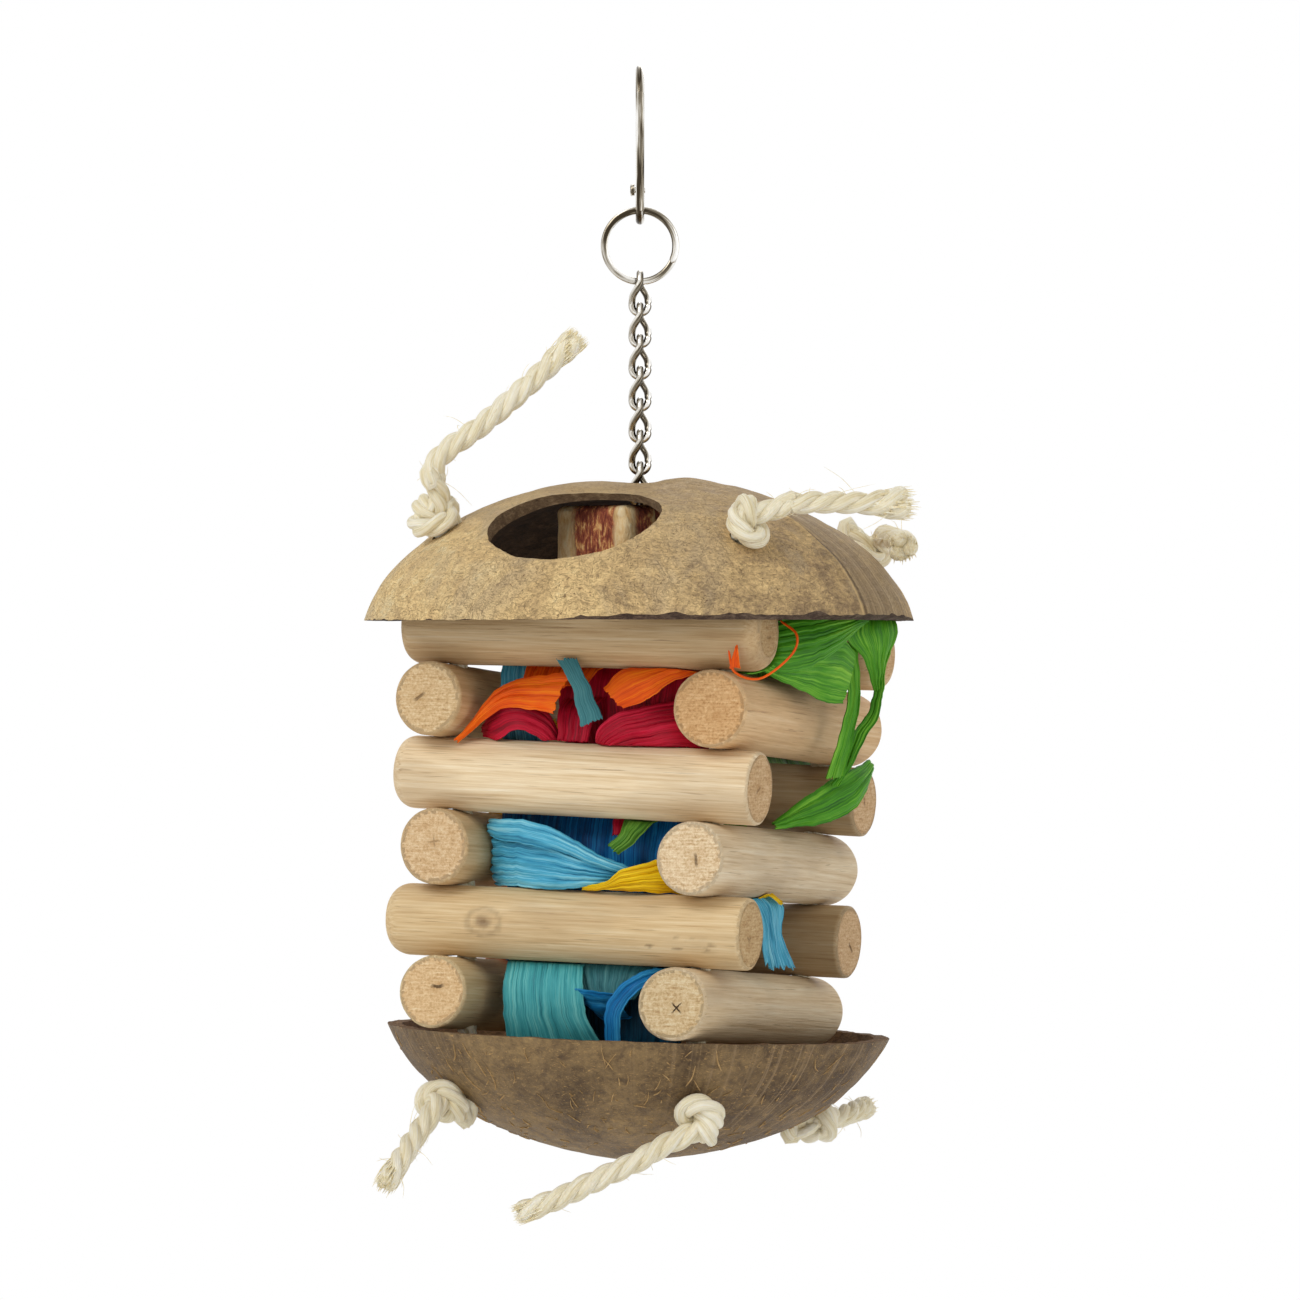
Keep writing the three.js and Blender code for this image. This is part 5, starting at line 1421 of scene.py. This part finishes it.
# Name, colour, how it is held, the stick it rests on, pleats and their depth, what else it has, both edges
LEAVES = [
    # Front, upper gap
    ("orange_ribbon", "orange", "folded", "3_front", 3, 0.3, dict(node="orange_left", bulge=1.2),
     [(-31.6, -43.5, -169.3), (-26.5, -42, -162.5), (-22, -41, -157), (-16, -40, -154.3),
      (-8.2, -41.5, -153.2), (-1, -42, -152.4)],
     [(-31, -43.8, -170), (-26.3, -42.5, -165.8), (-20.5, -41.5, -162), (-15.5, -42, -161.5),
      (-10, -42.5, -162), (-5.8, -42.5, -162.8)]),
    ("orange_tuck", "orange", "gathered", "1_front", 6, 0.5, {},
     [(-17, -27, -146), (-17, -34, -152.5), (-16.5, -38, -156.5)],
     [(4, -27, -146), (3.5, -34, -151.5), (1, -38, -155.5)]),
    ("blue_tuck", "blue", "gathered", "1_front", 4, 0.5, {},
     [(-26, -26, -146), (-25, -31, -153), (-25, -32, -163), (-24, -30, -173)],
     [(-15, -26, -146), (-14, -31, -153), (-13, -32, -163), (-12, -30, -173)]),
    ("crimson_curl", "crimson", "folded", "3_front", 4, 0.25, dict(bulge=1.0),
     [(-29, -31, -165), (-24, -37, -160.5), (-16, -39, -159.5), (-10, -36.5, -162.5), (-8, -34, -168)],
     [(-27, -37.5, -168.8), (-22, -41, -169.5), (-16, -42.5, -166.8), (-11, -41, -168.6), (-8, -37, -172)]),
    ("crimson_stub", "crimson", "folded", "3_front", 4, 0.4, {},
     [(-7, -29, -158), (-7, -36, -162), (-6, -39, -170)],
     [(4, -29, -158), (3, -36, -162), (2, -39, -170)]),
    ("teal_strip", "slate", "folded", "1_front", 2, 0.12,
     dict(node="teal_strip", trim_of="crimson_tuck"),
     [(-4.2, -43.9, -149.4), (-2.4, -43.9, -152), (0, -43.4, -157), (2, -43, -166)],
     [(1, -43.6, -149), (2.2, -43.8, -151.4), (4.5, -43.4, -156), (7.5, -43, -163.8)]),
    ("orange_curve", "orange", "folded", "1_front", 2, 0.2, dict(node="orange_right", bulge=2.0),
     [(31, -30, -147), (28, -36, -150.8), (20, -39, -151.4), (12, -41, -152), (8, -42, -156.5)],
     [(33, -30, -149), (31, -36.5, -152.5), (25, -39.5, -155), (19, -41.5, -159.2), (13, -42, -161.4)]),
    ("crimson_ribs", "crimson", "gathered", "3_front", 9, 0.25, dict(node="crimson_front", bulge=1.5),
     [(3.5, -38, -171.5), (6, -41, -166.5), (11, -40.5, -162.8), (18, -38, -160.8), (25, -33, -160)],
     [(6, -36, -173), (12, -38.5, -172.6), (19, -39, -172.6), (26, -38.5, -172), (30, -35, -172)]),
    ("crimson_tuck", "crimson", "gathered", "1_front", 6, 0.9, {},
     [(-9, -25, -147), (-9, -30, -155), (-9, -31, -164), (-9, -26, -172)],
     [(30, -25, -147), (30, -30, -155), (30, -31, -164), (30, -26, -172)]),
    # Front, middle gap
    ("blue_bunch", "blue", "gathered", "5_front", 7, 0.55, dict(node="blue_front", bulge=1.0),
     [(-28, -25, -190), (-26, -33.5, -190.3), (-15, -40.5, -191), (-5, -42, -193), (5, -42, -197.5),
      (15, -39, -202)],
     [(-28, -24, -205), (-25.5, -33, -206), (-15, -40.5, -206.2), (-5, -42.5, -206.6), (3, -42.5, -206),
      (13, -39, -205)]),
    ("blue_band", "blue", "gathered", "3_front", 3, 0.3, dict(bulge=0.8, trim_of="blue_bunch"),
     [(-28, -28, -189.5), (-25, -37, -189.4), (-14, -42.6, -189.6), (-4, -44, -192), (6, -43.8, -197.3),
      (16, -40, -202.3)],
     [(-28, -28, -193.5), (-25, -36.5, -194), (-14, -43.4, -195.3), (-4, -44.6, -197), (6, -44, -200.4),
      (15.5, -40, -204)]),
    ("yellow_bunch", "yellow", "gathered", "5_front", 5, 0.4, dict(node="yellow_front", bulge=0.8),
     [(2, -41.5, -205.8), (8.4, -43.4, -204.8), (14.5, -44, -201.2), (21.4, -41, -199.2), (27, -33, -196.5)],
     [(2, -41, -206.6), (8, -42.4, -206.8), (14, -43.2, -206.8), (22, -41, -207.3), (27, -33, -208.5)]),
    ("green_bit", "shaded_olive", "gathered", "3_front", 6, 0.3, dict(node="green_front", bulge=1.4),
     [(10, -30, -186), (11, -36, -189.6), (10.8, -40, -193.2), (8.6, -41, -195.4)],
     [(20, -30, -186), (19, -36.5, -189.6), (15.8, -40.5, -194.4), (11.5, -41.5, -197.8)]),
    ("navy_tuck", "navy", "gathered", "3_front", 7, 0.8, {},
     [(-26.5, -25, -184), (-26.5, -28, -192), (-26, -28.5, -200), (-25, -25, -209)],
     [(27, -26, -184), (27, -32, -192), (27, -34, -200), (26, -29, -209)]),
    ("crimson_bit", "crimson", "folded", "3_front", 1, 0.3, dict(trim_of="navy_tuck"),
     [(6.5, -31, -185), (7, -34.5, -190), (7.5, -35.5, -193)],
     [(10, -31, -185), (10, -34.5, -190), (9.5, -35.5, -193)]),
    # Front, lower gap
    ("teal_sheet", "teal", "hung", "5_front", 16, 0.17, dict(node="teal_low", bulge=0.8),
     [(-20, -30, -219), (-19.8, -39, -225.6), (-19.5, -42.3, -233), (-19.3, -41.5, -241), (-19, -38, -249)],
     [(0, -30, -219), (1, -39.5, -225.6), (2.4, -43.5, -231), (3.6, -43.2, -238.5), (8, -39, -249)]),
    ("blue_fold", "azure", "folded", "5_front", 2, 0.3, dict(bulge=0.6),
     [(0.5, -43.8, -231.3), (5, -44.8, -231.6), (11, -43.8, -232.4)],
     [(2.5, -37, -237), (6, -37, -239.5), (12, -35, -239)]),
    ("blue_ribbon", "azure", "hung", "5_front", 2, 0.25, dict(trim_of="navy_low"),
     [(26, -34, -224), (18, -43.6, -227.4), (11.6, -45.5, -232.5), (9.6, -45.6, -239), (9.4, -44, -250)],
     [(27, -34, -227), (20, -43.8, -230.4), (15, -45.6, -234.8), (13.4, -45.8, -240), (13, -44, -250)]),
    # navy_low, in the shaded navy, reaches left behind the teal sheet as a dark sheet that stands for shade.
    ("navy_low", "shaded_navy", "hung", "5_front", 10, 0.7, dict(node="navy_low"),
     [(-25, -25, -220), (-24.5, -27, -228), (-24, -28, -240), (-24, -28, -251)],
     [(26, -26, -221), (26, -33, -229), (26, -35, -240), (24, -33, -251)]),
    ("blue_veined", "slate", "hung", "5_front", 8, 0.25, {},
     [(-4, -31, -221), (-2, -38, -226.4), (2, -40.5, -234)],
     [(21, -31, -221.5), (19, -38.5, -227.4), (15, -40, -234)]),
    # Right side
    ("green_broad", "green", "draped", "2_right", 7, 0.2,
     dict(node="green_leaf", bulge=1.2, ragged=0.4),
     [(44, -36, -148), (48.5, -30, -152), (52.5, -22, -152), (56, -10, -148), (58, 0, -143),
      (58.6, 6, -140)],
     [(40, -30, -143), (48, -22, -139.5), (53, -13, -138), (56, -4, -137.6), (58, 3, -137.6),
      (58.8, 7.5, -138.6)]),
    ("green_folded", "green", "folded", "2_right", 5, 0.15, dict(bulge=0.6, ragged=0.4),
     [(45, -33, -148), (50, -26, -150), (53.5, -14, -147), (55.5, -2, -144.6), (56.5, 5.5, -147.5)],
     [(44, -37, -149.5), (48, -30, -153.5), (51.5, -19, -157), (54.5, -10, -160), (56.5, -3, -160.4)]),
    ("green_behind", "green", "hung", "2_right", 4, 0.3, dict(bulge=0.8),
     [(48, 8, -138), (54.5, 6, -139), (55, 3, -143.8), (56.8, 10.5, -149), (57.3, 16.5, -157)],
     [(52, 24, -138), (60.5, 23, -139), (62, 20.5, -143.8), (60.5, 19, -148.4), (58, 18.8, -157.5)]),
    ("green_far", "shaded_olive", "draped", "3_back", 7, 0.4, {},
     [(14, 24, -148), (15, 32, -156), (15, 37, -167), (15, 42, -174.5), (15, 48, -178)],
     [(33, 24, -148), (34, 32, -156), (36, 36, -167), (37, 41, -174.5), (37, 47, -178)]),
    ("green_strand_near", "green", "hung", "2_right", 2, 0.25, dict(trim_of="green_tip"),
     [(53.5, 5, -145), (55.2, 3.5, -158), (54, 1.5, -168), (50, 2, -179.5)],
     [(55.5, 9, -145), (57.5, 7, -158), (56.3, 5.5, -168), (52.5, 7.5, -179)]),
    ("green_strand_far", "green", "hung", "2_right", 2, 0.25, dict(trim_of="green_tip"),
     [(59.5, 18.5, -145), (58.1, 18, -151.2), (56.6, 16, -162), (54.2, 11.5, -167.5), (52.2, 8, -176.7),
      (50, 6, -181)],
     [(61.6, 19.8, -145), (60.2, 18.2, -151.2), (59.2, 16.5, -162), (57.4, 14, -167.5), (54.2, 8.5, -176.7),
      (51.5, 8, -181.5)]),
    ("orange_flake", "orange", "folded", "1_front", 1, 0.1, dict(trim_of="green_broad"),
     [(45.2, -47.3, -146), (44, -46.8, -149), (42.9, -46, -151.4)],
     [(45.7, -47.3, -146), (45.6, -46.8, -149), (46.1, -46, -151.2)]),
    ("green_tip", "green", "hung", "4_right", 3, 0.3, dict(node="green_strand", bulge=1.0),
     [(52, 27, -175), (50.5, 15, -178), (46.5, 3, -182.5), (40, -10, -190.6)],
     [(52.5, 27.5, -178.5), (53.5, 18, -185.5), (49.5, 6, -190.5), (41, -10, -192)]),
    ("blue_scrap", "blue", "gathered", "6_right", 4, 0.5, dict(node="blue_right", ragged=2.2),
     [(27, -22, -206), (36, -19, -209), (39.5, -16.5, -215), (39.8, -16, -221), (40.4, -15.5, -226)],
     [(28, -8, -206), (38.5, -8.5, -208.5), (42.4, -8, -212), (42.2, -8.8, -218.5), (44.5, -5.5, -227)]),
    ("yellow_bits", "yellow", "folded", "4_right", 1, 0.3, dict(trim_of="blue_scrap"),
     [(34, -15, -207.4), (40, -13, -208.6), (42.8, -11.6, -211)],
     [(34, -12, -207.4), (40, -10.8, -208.2), (43, -9.8, -210.2)]),
]
BUNCH = {  # left and right edges, as places across, out of the stack and up; pleats and their depth
    "": ([(-9, 28, 16), (-13, 35, 7), (-17, 38.5, -1), (-18, 33, -9), (-17, 27, -17)],
         [(6, 28, 16), (9, 35, 6), (12, 38, -3), (15, 33, -10), (16, 27, -18)], 6, 0.5),
    "_torn": ([(2, 27, 16), (4, 36, 9), (2, 42, 2), (-3, 43, -4), (-8, 42.5, -8)],
              [(16, 27, 15), (17, 35, 8), (14, 42, 0), (6, 43.5, -6), (-3, 43, -11)], 4, 0.35),
    "_ribbon": ([(-17, 29, -16), (-14, 36, -9), (-9, 40, -3), (-2, 40.6, 1), (3, 40, 3)],
                [(-11, 29, -17), (-8, 37, -12), (-4, 40.6, -7), (2, 41, -3), (6, 40, -1)], 2, 0.25),
}
BUNCHES = [  # name, colour, colour of its ribbon, stick under it, heading, place further out, height, hand
    ("crimson_back", "crimson", "teal", "3_back", 90, 0.0, -165.0, 1),
    ("green_back", "green", "blue", "5_back", 90, -3.0, -202.0, -1),
    ("yellow_left", "yellow", "crimson", "4_left", 180, -2.0, -180.5, 1),
    ("orange_low", "orange", "navy", "6_left", 180, -4.0, -218.0, -1),
]
BUNCH_SPREAD = 1.2
THREAD = [
    (43.3, -47.2, -147), (43.9, -44.5, -152.4), (49, -40, -153.9), (54.7, -34, -148.2), (55.4, -32, -143.2),
    (50.3, -30, -139.6),
]


def bunched():
    """The rows of the leaves in the bunches, each a little out of true."""
    rows = []
    for name, colour, ribbon, on, heading, further, height, hand in BUNCHES:
        draws = random.Random(name)
        out = np.array([math.cos(math.radians(heading)), math.sin(math.radians(heading)), 0])
        across = hand * np.array([-out[1], out[0], 0])

        def placed(edge):
            points = []
            for a, o, u in edge:
                spread = np.array([draws.uniform(-BUNCH_SPREAD, BUNCH_SPREAD) for _ in range(3)])
                points.append(a * across + (o + further) * out + UP * (height + u) + spread)
            return points

        more = {"": dict(node=name), "_torn": {}, "_ribbon": dict(trim_of=name)}
        for part, (left, right, pleats, depth) in BUNCH.items():
            shade = ribbon if part == "_ribbon" else colour
            edges = placed(left), placed(right)
            rows.append((name + part, shade, "gathered", on, pleats, depth, more[part], *edges))
    return rows


def leaves():
    """Makes the leaves, first those that go with another one."""
    trims, wholes = {}, []
    for name, colour, held, on, pleats, depth, more, left, right in LEAVES + bunched():
        shown = dict(more, name=name, colour=colour, pleats=pleats, depth=depth, left=left, right=right)
        owner = shown.pop("trim_of", None)
        if owner:
            trims.setdefault(owner, []).append(leaf(**shown)[0])
        else:
            wholes.append((shown, held, on))
    thread = Shape()
    tube(thread, spline(THREAD, 0.5), THREAD_RADIUS, sides=8)
    trims["green_broad"].append(piece("leaf_orange_thread", thread, [HUSKS["orange"]]))
    for shown, held, on in wholes:
        obj, flat, area = leaf(**shown)
        area = min(area, flat[0] * flat[1])


leaves()
